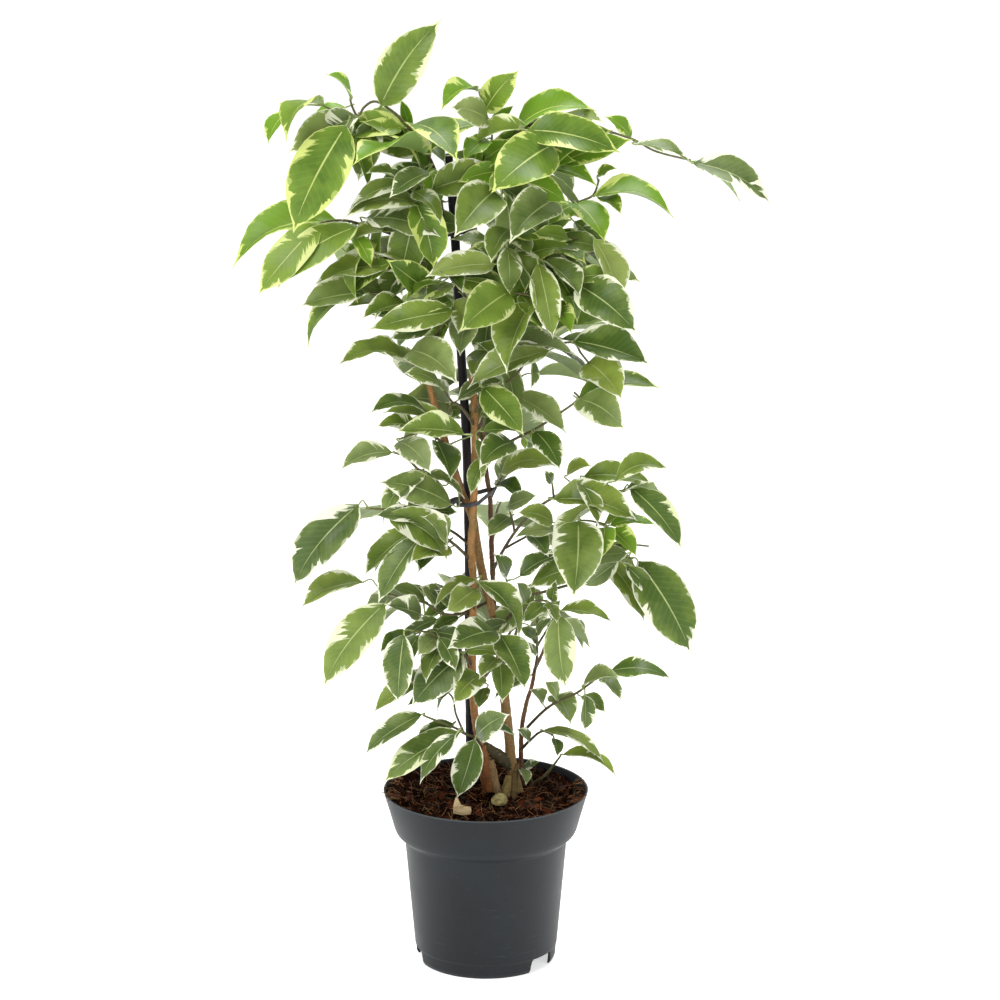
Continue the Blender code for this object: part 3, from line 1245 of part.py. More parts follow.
def buildPot():
    pot = turnedSolid("pot", potProfile(), potSides)
    for corner in pot.data.vertices:
        corner.co = pinched(corner.co)
    cutters = []
    for angle in notchAngles:
        middle = math.radians(angle)
        half = notchWidth / 2
        corners = []
        for height in (-4 * mm, channelRoof + 0.05 * mm):
            for turn, radius in ((-half, 36 * mm), (-half, 46 * mm), (half, 46 * mm), (half, 36 * mm)):
                corners.append(Vector((radius * math.sin(middle + turn), -radius * math.cos(middle + turn), height)))
        faces = [(0, 1, 2, 3), (7, 6, 5, 4), (0, 4, 5, 1), (1, 5, 6, 2), (2, 6, 7, 3), (3, 7, 4, 0)]
        cutters.append((corners, faces))
        x = drainRing * math.sin(middle)
        y = -drainRing * math.cos(middle)
        points = [Vector((x, y, channelRoof - 3 * mm)), Vector((x, y, channelRoof + wall + 3 * mm))]
        cutters.append(tube(points, [drainRadius, drainRadius], 12))
    combine(pot, cutters, "DIFFERENCE", "EXACT")
    finish(pot, "pot", colours["pot"], 0.5)


def buildSoil(sprout):
    corners, faces = soilTop(0.0)
    profile = [
        (collarFootRadius - wall, collarFoot), (bodyTopRadius - wall, bodyTop + 1.6 * mm),
        (baseRadius + 0.5 * mm - wall, channelRoof + wall), (channelInner - 1.2 * mm, channelRoof + wall),
        (footDisc - 1.2 * mm, wall)]
    last = len(corners) - potSides
    for index, (radius, height) in enumerate(profile):
        lift = soilGap if index > 1 else 0.0
        for number in range(potSides):
            angle = 2 * math.pi * number / potSides
            reach = radius - soilGap
            corners.append(Vector((reach * math.cos(angle), reach * math.sin(angle), height + lift)))
            a = last + number
            b = last + (number + 1) % potSides
            faces.append((b, a, a + potSides, b + potSides))
        last += potSides
    corners.append(Vector((0, 0, wall + soilGap)))
    for number in range(potSides):
        faces.append((last + (number + 1) % potSides, last + number, len(corners) - 1))
    soil = solid("soil", (corners, faces))
    holes = [holeShape(path) for path in (stemPaths["front"], stemPaths["middle"], stemPaths["right"], legPath)]
    points = [point.copy() for point in stemPoints(canePath)[-3:]][::-1]
    points[0] = points[0] + (points[0] - points[1]).normalized() * (gap + 0.1 * mm)
    holes.append(tube(points, [caneRadius + gap + 0.05 * mm] * 3, caneSides))
    grown = [radius + gap + 0.05 * mm for radius in sprout["radii"][:2]]
    points = [sprout["points"][0] - Vector((0, 0, gap + 0.1 * mm)), sprout["points"][1]]
    points.append(points[1] + Vector((0, 0, 3 * mm)))
    holes.append(tube(points, grown + [grown[-1]], twigSides))
    combine(soil, holes, "DIFFERENCE", "EXACT")
    finish(soil, "soil", colours["soil"], 0.9)


def buildWood(placed):
    shapes = [tube(stemPoints(stemPaths[name]), stemRadii(stemPaths[name]), stemSides) for name in ("middle", "back")]
    shapes += [tube(stemPoints(path), stemRadii(path), stemSides) for path in (archPath, legPath)]
    trunk = solid("trunk", tube(stemPoints(stemPaths["front"]), stemRadii(stemPaths["front"]), stemSides))
    combine(trunk, shapes, "UNION", "EXACT")
    finish(trunk, "trunk", colours["bark"], 0.7)
    stem = solid("right_stem", tube(stemPoints(stemPaths["right"]), stemRadii(stemPaths["right"]), stemSides))
    finish(stem, "right_stem", colours["darkBark"], 0.7)


def buildRest():
    cane = rodSolid("cane", stemPoints(canePath), caneRadius)
    finish(cane, "cane", colours["cane"], 0.45)
    for name, row, stems in (("lower_tie", lowerTieRow, ("front", "middle", "back")),
                             ("upper_tie", upperTieRow, ("middle", "back"))):
        finish(solid(name, tieShape(row, stems)), name, colours["tie"], 0.5)
    finish(solid("bark_chip", chipShape()), "bark_chip", colours["chip"], 0.8)
    finish(solid("wood_nub", nubShape()), "wood_nub", colours["nub"], 0.8)


def buildSprays(placed):
    for name, spray in placed.items():
        shapes = sprayShapes(spray)
        made = solid(name, shapes[0])
        combine(made, shapes[1:], "UNION", unionSolver)
        tones = [leaf["tone"] for leaf in spray["leaves"]]
        common = max(sorted(set(tones)), key=tones.count)
        finish(made, "spray_" + name, colours[toneNames[common]], 0.5, sprayThin)


def main():
    for old in list(bpy.data.objects):
        bpy.data.objects.remove(old)
    placed = layPlant()
    buildPot()
    buildSoil(placed["base_sprout"]["twigs"][0])
    buildWood(placed)
    buildRest()
    buildSprays(placed)


unionSolver = "MANIFOLD"
sprayThin = 0.76

main()
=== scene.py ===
# A young weeping fig with cream-edged leaves in a nursery pot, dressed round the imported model.
# Lengths are in metres and Z is up. The pot stands on the origin, and the photograph looks along +Y.
import math
import random

import bmesh
import bpy
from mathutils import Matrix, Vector, noise


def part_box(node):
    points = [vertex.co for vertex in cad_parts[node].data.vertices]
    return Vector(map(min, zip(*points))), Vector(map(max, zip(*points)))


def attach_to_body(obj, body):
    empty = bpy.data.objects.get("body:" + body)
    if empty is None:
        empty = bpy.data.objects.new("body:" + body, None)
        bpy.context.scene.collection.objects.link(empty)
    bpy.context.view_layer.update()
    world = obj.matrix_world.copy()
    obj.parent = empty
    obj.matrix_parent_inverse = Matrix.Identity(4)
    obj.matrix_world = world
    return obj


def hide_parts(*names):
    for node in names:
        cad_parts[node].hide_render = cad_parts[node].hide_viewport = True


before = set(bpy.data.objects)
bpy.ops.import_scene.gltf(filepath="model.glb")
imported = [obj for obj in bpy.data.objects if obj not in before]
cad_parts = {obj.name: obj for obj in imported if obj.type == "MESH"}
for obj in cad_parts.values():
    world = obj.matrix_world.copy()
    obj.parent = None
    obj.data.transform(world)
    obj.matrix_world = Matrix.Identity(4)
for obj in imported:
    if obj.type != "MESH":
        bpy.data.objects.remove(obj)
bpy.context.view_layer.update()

mm = 0.001

# The photograph's view: where the eye is, how far it looks down in degrees, and its reach in pixels
view = dict(eye=Vector((0.009, -2.400, 0.950)), pitch=math.radians(15.56), focal=4279.0, middle=500.0,
            sensor=36.0, shift=(-0.001, 0.0013))
# Each lamp has its place, its power in watts and its size
studio = dict(sky=0.85, zenith=0.45, horizon=1.25, floor="#fbfbfa", floorSize=13.0, floorGlow=0.6, aim=0.28,
              key=((-1.1, -1.3, 1.5), 24.0, 1.1), fill=((1.4, -1.2, 0.9), 6.0, 1.4),
              top=((0.2, 0.5, 1.7), 22.0, 1.0))


def linear(colour):
    # sRGB hex to linear red, green, blue and alpha
    parts = []
    for start in (1, 3, 5):
        value = int(colour[start:start + 2], 16) / 255
        parts.append(value / 12.92 if value <= 0.04045 else ((value + 0.055) / 1.055) ** 2.4)
    return (*parts, 1.0)


def put(tree, kind, *values, out=0, stops=None, **named):
    # Adds one node. Lower-case names are its settings, values and capital names are its inputs, and stops
    # are the points of its ramp or curve. It gives back one output, or the node itself if out is None.
    made = tree.nodes.new(kind)
    for name, value in named.items():
        if name[0].islower():
            setattr(made, name, value)
    shown = [socket for socket in made.inputs if socket.enabled]
    byName = {}
    for socket in shown:
        byName.setdefault(socket.name, socket)
    wanted = list(zip(shown, values))
    wanted += [(byName[name.replace("_", " ")], value) for name, value in named.items() if name[0].isupper()]
    for socket, value in wanted:
        if isinstance(value, bpy.types.NodeSocket):
            tree.links.new(value, socket)
        elif value is not None:
            socket.default_value = value
    if stops:
        curve = made.mapping.curves[0]
        while len(curve.points) < len(stops):
            curve.points.new(0.5, 0.5)
        for point, (place, height) in zip(curve.points, stops):
            point.location = (place, height)
        made.mapping.update()
    if out is None:
        return made
    found = [socket for socket in made.outputs if socket.enabled]
    return found[out] if isinstance(out, int) else next(socket for socket in found if socket.name == out)


def newTree(name, **sizes):
    # A Geometry Nodes tree with a named input for each size, its kind read from the value given
    tree = bpy.data.node_groups.new(name, "GeometryNodeTree")
    tree.interface.new_socket(name="Geometry", in_out="INPUT", socket_type="NodeSocketGeometry")
    tree.interface.new_socket(name="Geometry", in_out="OUTPUT", socket_type="NodeSocketGeometry")
    kinds = {int: "NodeSocketInt", float: "NodeSocketFloat", type(None): "NodeSocketMaterial"}
    for key, value in sizes.items():
        socket = tree.interface.new_socket(name=key, in_out="INPUT", socket_type=kinds[type(value)])
        if value is not None:
            socket.default_value = value
    given = put(tree, "NodeGroupInput", out=None).outputs
    return tree, given


def meshOf(name, corners, edges=(), faces=(), **attributes):
    # A mesh with its points' attributes: numbers, vectors or colours
    mesh = bpy.data.meshes.new(name)
    mesh.from_pydata([tuple(corner) for corner in corners], list(edges), [tuple(face) for face in faces])
    for key, values in attributes.items():
        first = values[0]
        count = len(first) if hasattr(first, "__len__") else 1
        kind, field = {1: ("FLOAT", "value"), 3: ("FLOAT_VECTOR", "vector"),
                       4: ("FLOAT_COLOR", "color")}[count]
        flat = [part for value in values for part in (value if count > 1 else (value,))]
        mesh.attributes.new(key, kind, "POINT").data.foreach_set(field, flat)
    return mesh


def objectOf(name, mesh):
    made = bpy.data.objects.new(name, mesh)
    bpy.context.scene.collection.objects.link(made)
    return made


def settled(made):
    # Swaps an object's data for the plain mesh that its modifiers make
    bpy.context.view_layer.update()
    seen = made.evaluated_get(bpy.context.evaluated_depsgraph_get())
    mesh = bpy.data.meshes.new_from_object(seen)
    made.modifiers.clear()
    old = made.data
    made.data = mesh
    bpy.data.meshes.remove(old)
    mesh.name = made.name
    return made


def grown(name, mesh, tree, **sizes):
    # Runs a tree on a mesh once, with its inputs set first, and keeps the plain mesh
    made = objectOf(name, mesh)
    modifier = made.modifiers.new("shape", "NODES")
    modifier.node_group = tree
    for item in tree.interface.items_tree:
        if item.in_out == "INPUT" and item.name in sizes:
            modifier[item.identifier] = sizes[item.name]
    return settled(made)


def finished(made, slot, *nodes):
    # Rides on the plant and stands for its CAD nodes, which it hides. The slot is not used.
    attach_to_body(made, "root")
    if nodes:
        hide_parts(*nodes)
    return made


def outward(mesh):
    body = bmesh.new()
    body.from_mesh(mesh)
    bmesh.ops.recalc_face_normals(body, faces=body.faces)
    body.to_mesh(mesh)
    body.free()


def smoothed(mesh, angle=40):
    # Smooth faces with sharp edges where the surface turns by more than the angle
    mesh.shade_smooth()
    mesh.set_sharp_from_angle(angle=math.radians(angle))


# Studio
def buildStudio():
    scene = bpy.context.scene
    scene.view_settings.view_transform = "Standard"
    data = bpy.data.cameras.new("camera")
    data.sensor_width = view["sensor"]
    data.lens = view["focal"] / (2 * view["middle"]) * view["sensor"]
    data.shift_x, data.shift_y = view["shift"]
    data.clip_end = 20
    eyeObject = bpy.data.objects.new("camera", data)
    eyeObject.location = view["eye"]
    eyeObject.rotation_euler = (math.radians(90) - view["pitch"], 0, 0)
    scene.collection.objects.link(eyeObject)
    scene.camera = eyeObject

    world = bpy.data.worlds.new("studio")
    world.use_nodes = True
    sky = world.node_tree.nodes["Background"]
    sky.inputs["Strength"].default_value = studio["sky"]
    # White round the horizon, and softer overhead, so that the upper faces take their light from the lamps
    up = put(world.node_tree, "ShaderNodeSeparateXYZ",
             put(world.node_tree, "ShaderNodeTexCoord", out="Generated"), out="Z")
    softer = put(world.node_tree, "ShaderNodeMapRange", up, -0.05, 0.45, 1.0, studio["zenith"])
    # Past the floor's edge it is as white as the paper
    beyond = put(world.node_tree, "ShaderNodeMapRange", up, 0.0, 0.03, studio["horizon"], 1.0)
    softer = put(world.node_tree, "ShaderNodeMath", softer, beyond, operation="MULTIPLY")
    world.node_tree.links.new(put(world.node_tree, "ShaderNodeCombineColor", softer, softer, softer),
                              sky.inputs["Color"])
    scene.world = world

    for name in ("key", "fill", "top"):
        place, power, size = studio[name]
        light = bpy.data.lights.new(name, "AREA")
        light.energy = power
        light.size = size
        lamp = bpy.data.objects.new(name, light)
        lamp.location = place
        lamp.rotation_mode = "QUATERNION"
        lamp.rotation_quaternion = (Vector(place) - Vector((0, 0, studio["aim"]))).to_track_quat("Z", "Y")
        scene.collection.objects.link(lamp)

    half = studio["floorSize"] / 2
    corners = [(-half, -half, 0), (half, -half, 0), (half, half, 0), (-half, half, 0)]
    floor = objectOf("floor", meshOf("floor", corners, faces=[(0, 1, 2, 3)]))
    paper = bpy.data.materials.new("paper_matt")
    paper.use_nodes = True
    shader = paper.node_tree.nodes["Principled BSDF"]
    shader.inputs["Base Color"].default_value = linear(studio["floor"])
    shader.inputs["Roughness"].default_value = 0.9
    shader.inputs["Emission Color"].default_value = (1, 1, 1, 1)
    shader.inputs["Emission Strength"].default_value = studio["floorGlow"]
    floor.data.materials.append(paper)


# Where everything is. A place in the picture and a depth in mm behind the pot's axis give a place in space.
def placeOf(column, row, depth):
    across = (column - view["middle"]) / view["focal"]
    up = (view["middle"] - row) / view["focal"]
    eye, pitch = view["eye"], view["pitch"]
    reach = (depth * mm - eye.y) / (math.cos(pitch) + up * math.sin(pitch))
    return Vector((eye.x + reach * across, depth * mm,
                   eye.z + reach * (up * math.cos(pitch) - math.sin(pitch))))


def pictureOf(point):
    ray = point - view["eye"]
    forward = ray.y * math.cos(view["pitch"]) - ray.z * math.sin(view["pitch"])
    up = ray.y * math.sin(view["pitch"]) + ray.z * math.cos(view["pitch"])
    return view["middle"] + view["focal"] * ray.x / forward, view["middle"] - view["focal"] * up / forward


# Stems from the soil up: column, row, depth in mm, radius in mm
stemPaths = {
    "front": [
        (489, 840, 6, 2.4), (487, 797, 5, 2.6), (483, 770, 3, 2.6), (480, 745, 2, 2.6), (475, 722, -1, 2.4),
        (472, 690, -4, 2.3), (471, 640, -7, 2.3), (472, 610, -8, 2.2), (472, 575, -9, 2.2),
        (470, 545, -9, 2.2), (472, 520, -9, 2.2), (473, 490, -8, 2.2), (474, 450, -7, 2.2),
        (474, 420, -6, 2.1), (473, 395, -5, 2.0), (471, 378, -5, 1.9), (478, 350, -5, 1.8),
        (485, 330, -4, 1.7), (494, 305, -2, 1.5), (502, 283, 0, 1.4), (508, 265, 2, 1.3),
        (521, 245, 4, 1.1)],
    "middle": [
        (511, 838, 12, 3.6), (511, 796, 10, 4.6), (513, 778, 10, 3.6), (510, 758, 10, 3.1),
        (508, 735, 11, 3.0), (504, 700, 11, 2.9), (500, 660, 10, 2.8), (495, 625, 8, 2.6),
        (488, 600, 5, 2.5), (482, 575, 2, 2.5), (477, 550, -1, 2.4), (472, 518, -2, 2.4),
        (463, 497, -2, 2.3), (457, 480, -3, 2.3), (449, 455, -4, 2.2), (441, 430, -4, 2.1),
        (434, 405, -4, 2.0), (429, 385, -4, 1.9), (426, 362, -4, 1.8), (427, 330, -3, 1.7),
        (428, 298, -2, 1.6), (430, 265, 0, 1.4), (436, 245, 0, 1.3), (444, 228, 0, 1.1)],
    "back": [
        (495, 628, 9, 1.4), (493, 605, 12, 1.5), (492, 580, 13, 1.5), (491, 555, 13, 1.5),
        (490, 525, 12, 1.4), (489, 495, 11, 1.4), (484, 462, 10, 1.4), (481, 420, 10, 1.3),
        (478, 375, 10, 1.3), (473, 320, 10, 1.2), (471, 280, 10, 1.2), (472, 235, 9, 1.1),
        (472, 200, 8, 1.0), (478, 165, 6, 0.9)],
    "right": [
        (524, 815, 30, 1.4), (521, 783, 30, 1.5), (520, 755, 28, 1.5), (521, 725, 25, 1.4),
        (526, 700, 23, 1.3), (531, 684, 22, 1.2), (534, 668, 20, 1.1), (540, 655, 18, 1.0),
        (546, 640, 16, 0.9)],
}
# The old wood that joins the front and middle stems above the soil, and its second leg
archPath = [(480, 746, 3, 2.0), (490, 748, 5, 2.3), (500, 753, 7, 2.3), (511, 761, 10, 2.2)]
legPath = [(501, 822, 5, 1.7), (498, 797, 4, 2.1), (493, 781, 4, 1.9), (489, 765, 4, 1.8),
           (488, 749, 5, 1.5)]

# The cane
caneRadius = 2.6 * mm
canePath = [
    (447, 153, 4, 2.6), (452, 205, 5, 2.6), (456, 270, 5, 2.6), (460, 350, 5, 2.6), (465, 430, 6, 2.6),
    (467, 500, 7, 2.6), (468, 560, 8, 2.6), (468, 640, 11, 2.6), (469, 740, 16, 2.6), (470, 880, 24, 2.6)]

# Sprays of leaves. root is a stem and the row where the spray leaves it. Each twig is a list of places with
# column, row and depth in mm. Each leaf has the column and row of its base and of its tip, its width as
# seen, its turn in degrees, its droop in hundredths of its length, how far it stands behind its twig in mm,
# how much further back its tip leans, as a share of its length, and the letter of its tone in toneLooks.
sprays = {
    "crown_left": dict(root=("middle", 228), twigs=[
        [(440, 200, -4), (436, 175, -8), (425, 150, -12), (405, 123, -14), (389, 108, -14), (374, 100, -13),
        (363, 106, -13), (356, 116, -14), (340, 113, -15), (320, 103, -15)], [(356, 116, -14),
        (351, 105, -15), (349, 97, -16)]], leaves=[
        (380, 104, 441, 18, 43, 5, 5, -5, 0, "m"), (350, 97, 325, 73, 7, 70, 8, -3, 0, "y"),
        (320, 103, 285, 141, 18, 60, 20, -5, 0, "b"), (288, 110, 267, 143, 14, 50, 8, 0, 0, "y"),
        (352, 120, 286, 152, 36, 20, 8, -2, 0, "w"), (345, 124, 292, 232, 54, 0, 6, -18, 0, "v"),
        (357, 115, 352, 160, 12, 55, 5, 5, 0, "y")]),
    "crown_inner": dict(root=("middle", 240), twigs=[
        [(437, 205, 0), (428, 168, -2), (416, 148, -4), (409, 126, -6)]], leaves=[
        (426, 151, 358, 120, 18, 45, 8, -5, 0, "b"), (424, 153, 352, 164, 16, 88, 10, -12, 0, "y"),
        (410, 125, 358, 114, 12, 55, 8, 7, 0, "m"), (411, 124, 457, 162, 42, 43, 8, -6, -0.2, "v"),
        (410, 131, 445, 163, 20, 40, 5, 19, 0, "d"), (409, 127, 399, 97, 4, 0, 0, 3, -0.2, "y")]),
    "shoulder_left": dict(root=("middle", 250), twigs=[
        [(428, 222, -12), (420, 200, -20), (412, 188, -24), (398, 180, -27)]], leaves=[
        (397, 179, 365, 172, 10, 65, 8, -2, 0, "w"), (424, 166, 376, 188, 22, 26, 8, 9, 0, "d"),
        (428, 172, 388, 197, 20, 40, 8, -11, 0, "d"), (420, 205, 341, 219, 26, 50, 18, -6, 0, "w"),
        (405, 184, 347, 213, 16, 60, 12, -9, 0, "c"), (412, 190, 440, 224, 18, 45, 8, -4, 0, "g")]),
    "far_left": dict(root=("middle", 262), twigs=[
        [(402, 238, -10), (360, 223, -17), (340, 219, -20), (320, 222, -23), (311, 232, -24)]], leaves=[
        (341, 224, 231, 268, 28, 45, 16, 14, 0, "y"), (318, 222, 257, 294, 35, 20, 7, -4, 0, "b"),
        (357, 225, 276, 288, 32, 25, 8, -10, 0, "b"), (400, 228, 345, 241, 16, 50, 8, -10, 0, "w"),
        (350, 243, 312, 259, 12, 60, 8, 4, 0, "m")]),
    "left_upper": dict(root=("middle", 288), twigs=[
        [(420, 268, -8), (405, 258, -14), (390, 262, -18)]], leaves=[
        (420, 260, 350, 250, 24, 45, 8, -4, 0, "w"), (418, 266, 336, 257, 10, 75, 6, 7, 0, "m"),
        (391, 265, 312, 285, 24, 45, 8, -4, 0, "w"), (426, 288, 385, 258, 30, 10, 6, -14, 0, "v"),
        (400, 255, 352, 272, 18, 50, 8, 23, 0, "m")]),
    "left_middle": dict(root=("middle", 322), twigs=[
        [(414, 308, -8), (402, 303, -12), (390, 293, -14), (357, 292, -16)]], leaves=[
        (364, 292, 299, 305, 26, 35, 8, -6, 0, "g"), (390, 294, 342, 281, 18, 40, 8, 10, 0, "w"),
        (357, 292, 307, 348, 14, 60, 14, -3, 0, "b"), (402, 304, 345, 306, 10, 61, 6, 4, 0, "w"),
        (404, 302, 360, 318, 20, 40, 6, -6, 0, "g")]),
    "left_front": dict(root=("middle", 345), twigs=[
        [(437, 330, -14), (447, 316, -24), (452, 308, -30)]], leaves=[
        (452, 310, 366, 329, 29, 25, 10, -6, 0, "m"), (430, 328, 388, 338, 18, 30, 5, 5, 0, "k"),
        (450, 300, 416, 315, 20, 35, 5, 6, 0.2, "v")]),
    "left_lower": dict(root=("middle", 385), twigs=[
        [(418, 371, -10), (411, 362, -16), (409, 350, -20)]], leaves=[
        (411, 363, 335, 366, 20, 60, 14, -3, 0, "w"), (410, 349, 457, 384, 38, 15, 6, -8, 0, "w"),
        (412, 358, 372, 350, 14, 41, 6, 4, 0, "w")]),
    "waist_left": dict(root=("front", 425), twigs=[
        [(462, 408, -16), (452, 402, -22), (443, 416, -26), (428, 413, -28)], [(452, 402, -22),
        (441, 387, -24)]], leaves=[
        (426, 411, 367, 414, 16, 60, 14, -2, 0, "k"), (443, 420, 380, 412, 16, 50, 8, 3, 0, "w"),
        (441, 388, 402, 372, 18, 45, 8, -3, 0, "w")]),
    "waist_behind": dict(root=("back", 415), twigs=[
        [(466, 408, 15), (452, 404, 18)]], leaves=[
        (449, 404, 397, 398, 40, 15, 5, 6, 0, "w"), (470, 420, 492, 452, 26, 30, 8, 25, 0, "d")]),
    "waist_front": dict(root=("middle", 445), twigs=[
        [(434, 436, -12), (420, 431, -20), (398, 438, -26)]], leaves=[
        (463, 433, 395, 430, 24, 35, 8, -30, 0, "b"), (420, 429, 374, 426, 16, 45, 8, -3, 0, "c"),
        (398, 440, 430, 473, 28, 20, 6, -6, 0, "w"), (435, 440, 450, 480, 22, 40, 5, -4, 0, "d")]),
    "waist_lower": dict(root=("middle", 485), twigs=[
        [(440, 474, -10), (420, 470, -16), (405, 456, -18), (392, 451, -20)]], leaves=[
        (391, 451, 338, 470, 20, 45, 12, -3, 0, "w"), (442, 484, 391, 493, 18, 50, 12, 4, 0, "g"),
        (450, 503, 377, 481, 32, 25, 8, -14, 0, "g"), (420, 471, 398, 500, 18, 44, 6, 8, 0, "c")]),
    "crown_centre": dict(root=("back", 165), twigs=[
        [(480, 140, 2), (484, 115, 0), (478, 90, -2)], [(484, 115, 0), (490, 121, -6), (491, 140, -10)]],
        leaves=[
        (477, 89, 440, 110, 16, 50, 16, -4, 0, "y"), (484, 110, 518, 69, 28, 10, 5, -3, 0, "b"),
        (488, 120, 448, 106, 26, 25, 6, -6, 0, "w"), (478, 132, 474, 180, 16, 45, 5, -8, 0, "b"),
        (490, 120, 513, 104, 5, 0, 0, 3, 0, "y"), (486, 138, 462, 160, 22, 30, 6, -4, 0, "y")]),
    "crown_right": dict(root=("back", 205), twigs=[
        [(484, 178, 2), (492, 150, -4), (510, 136, -8), (527, 125, -10), (560, 119, -10), (600, 128, -12),
        (632, 138, -14), (655, 150, -15), (690, 159, -16)], [(540, 122, -10), (553, 142, -16),
        (560, 160, -20)], [(485, 176, 2), (496, 180, -8), (508, 173, -14), (520, 172, -18)]], leaves=[
        (519, 172, 598, 187, 16, 60, 8, 5, 0, "y"), (508, 173, 488, 190, 16, 30, 5, -6, 0, "b"),
        (493, 190, 453, 236, 50, 6, 6, -18, 0, "g"), (486, 204, 505, 232, 22, 30, 6, 4, 0, "m"),
        (551, 144, 490, 192, 50, 12, 7, -12, 0, "v"), (527, 129, 620, 152, 35, 30, 10, -18, 0, "v"),
        (516, 127, 596, 110, 24, 45, 18, 6, 0, "y"), (560, 161, 632, 138, 26, 20, 8, 6, 0, "y"),
        (630, 137, 603, 115, 14, 40, 8, 12, 0, "y"), (634, 143, 692, 164, 11, 60, 8, -4, 0, "c"),
        (692, 162, 770, 203, 26, 40, 8, -3, 0, "c"), (689, 160, 739, 200, 9, 75, 6, 6, 0, "y")]),
    "right_upper": dict(root=("front", 250), twigs=[
        [(540, 230, 0), (560, 217, -4), (576, 202, -7), (592, 194, -8), (598, 178, -8)]], leaves=[
        (597, 174, 616, 167, 10, 30, 4, 0, 0, "b"), (592, 195, 673, 217, 18, 60, 18, -3, 0, "y"),
        (598, 196, 620, 213, 13, 50, 5, -3, 0, "b"), (575, 202, 604, 242, 26, 35, 6, -6, 0, "y"),
        (574, 203, 545, 225, 20, 30, 6, -3, 0.4, "y"), (553, 199, 508, 243, 40, 15, 7, -10, 0, "g"),
        (566, 214, 590, 224, 18, 45, 6, 8, 0, "m")]),
    "centre_right": dict(root=("front", 272), twigs=[
        [(524, 260, -10), (545, 262, -18), (562, 272, -24), (577, 279, -26)], [(524, 260, -10),
        (542, 245, -13), (568, 238, -15), (592, 238, -17)]], leaves=[
        (568, 238, 531, 232, 15, 40, 6, -4, 0, "b"), (593, 238, 618, 303, 26, 38, 8, -3, 0, "w"),
        (580, 238, 606, 268, 20, 40, 6, 14, 0, "d"), (548, 243, 585, 262, 22, 45, 8, 9, 0, "v"),
        (530, 250, 589, 275, 22, 40, 8, 12, 0, "w"), (537, 262, 552, 338, 28, 12, 6, -16, 0, "g"),
        (542, 260, 580, 298, 20, 50, 6, -9, 0, "d"), (577, 284, 637, 333, 42, 15, 8, -3, 0, "d"),
        (577, 270, 641, 282, 14, 65, 8, 15, 0.2, "g"), (560, 275, 600, 296, 20, 40, 6, 11, 0.2, "m")]),
    "centre_front": dict(root=("front", 318), twigs=[
        [(497, 306, -14), (506, 294, -22), (517, 292, -26), (534, 296, -28), (550, 300, -29)]], leaves=[
        (499, 304, 526, 324, 21, 25, 5, -4, 0, "y"), (519, 293, 541, 330, 20, 35, 6, 3, 0, "v"),
        (507, 291, 458, 331, 42, 3, 6, -12, 0, "b"), (551, 300, 571, 333, 20, 30, 6, 7, 0, "y")]),
    "centre_high": dict(root=("front", 292), twigs=[
        [(499, 268, -14), (504, 248, -20), (508, 230, -22)]], leaves=[
        (494, 263, 424, 276, 26, 22, 7, -10, 0, "w"), (507, 228, 490, 262, 24, 20, 5, -4, 0, "m"),
        (500, 262, 476, 247, 14, 40, 5, 8, 0, "m"), (510, 232, 530, 254, 18, 35, 5, 15, 0, "m")]),
    "centre_left": dict(root=("back", 335), twigs=[
        [(468, 318, -6), (466, 298, -12), (452, 280, -14), (440, 266, -16)]], leaves=[
        (468, 318, 459, 355, 36, 10, 5, -6, 0, "w"), (467, 297, 457, 333, 21, 20, 5, -4, 0, "w"),
        (440, 264, 462, 292, 20, 26, 6, -4, 0, "k"), (450, 282, 424, 300, 20, 35, 6, 2, 0, "g")]),
    "branch_right": dict(root=("front", 440), twigs=[
        [(488, 402, -10), (501, 386, -14), (516, 372, -17), (529, 356, -20), (545, 347, -22),
        (571, 341, -24), (580, 352, -24), (588, 362, -24)]], leaves=[
        (572, 340, 650, 364, 33, 35, 8, -3, 0, "k"), (548, 349, 466, 388, 27, 30, 8, -10, 0, "w"),
        (543, 351, 522, 362, 12, 30, 5, -5, 0, "d"), (530, 356, 530, 388, 8, 65, 5, -3, 0, "m"),
        (587, 361, 622, 400, 42, 10, 6, 5, 0, "w"), (512, 395, 566, 433, 24, 35, 8, 6, -0.2, "w")]),
    "branch_top": dict(root=("front", 358), twigs=[
        [(489, 347, -14), (499, 342, -20)]], leaves=[
        (499, 342, 577, 355, 20, 50, 8, -6, -0.2, "w"), (492, 346, 520, 330, 18, 40, 6, 10, 0.2, "m"),
        (488, 350, 470, 378, 20, 30, 6, -3, 0, "w")]),
    "waist_right_top": dict(root=("front", 412), twigs=[
        [(480, 398, -16), (483, 388, -24)], [(481, 396, -18), (484, 412, -22), (482, 428, -24)]], leaves=[
        (482, 386, 523, 434, 32, 15, 6, -8, 0, "v"), (484, 411, 515, 427, 22, 30, 5, -5, 0.4, "m"),
        (482, 430, 522, 431, 14, 46, 6, -4, 0, "b")]),
    "waist_right": dict(root=("front", 482), twigs=[
        [(492, 456, -14), (510, 440, -16), (534, 428, -16), (557, 413, -16), (577, 398, -16),
        (573, 391, -16)]], leaves=[
        (534, 430, 559, 470, 24, 28, 6, -4, 0, "d"), (577, 399, 661, 388, 20, 52, 14, -3, 0, "v"),
        (578, 398, 625, 430, 36, 15, 6, -16, 0, "g"), (531, 430, 535, 445, 5, 0, 0, -3, 0, "y"),
        (522, 436, 524, 448, 4, 0, 0, -3, 0, "y"), (512, 441, 478, 468, 28, 20, 6, -3, 0, "k")]),
    "waist_right_low": dict(root=("back", 498), twigs=[
        [(496, 484, 20), (502, 473, 14)]], leaves=[
        (500, 472, 557, 466, 22, 42, 16, -3, 0, "w"), (498, 482, 520, 500, 20, 35, 6, 9, 0, "d"),
        (497, 478, 520, 452, 18, 30, 6, 11, 0, "m")]),
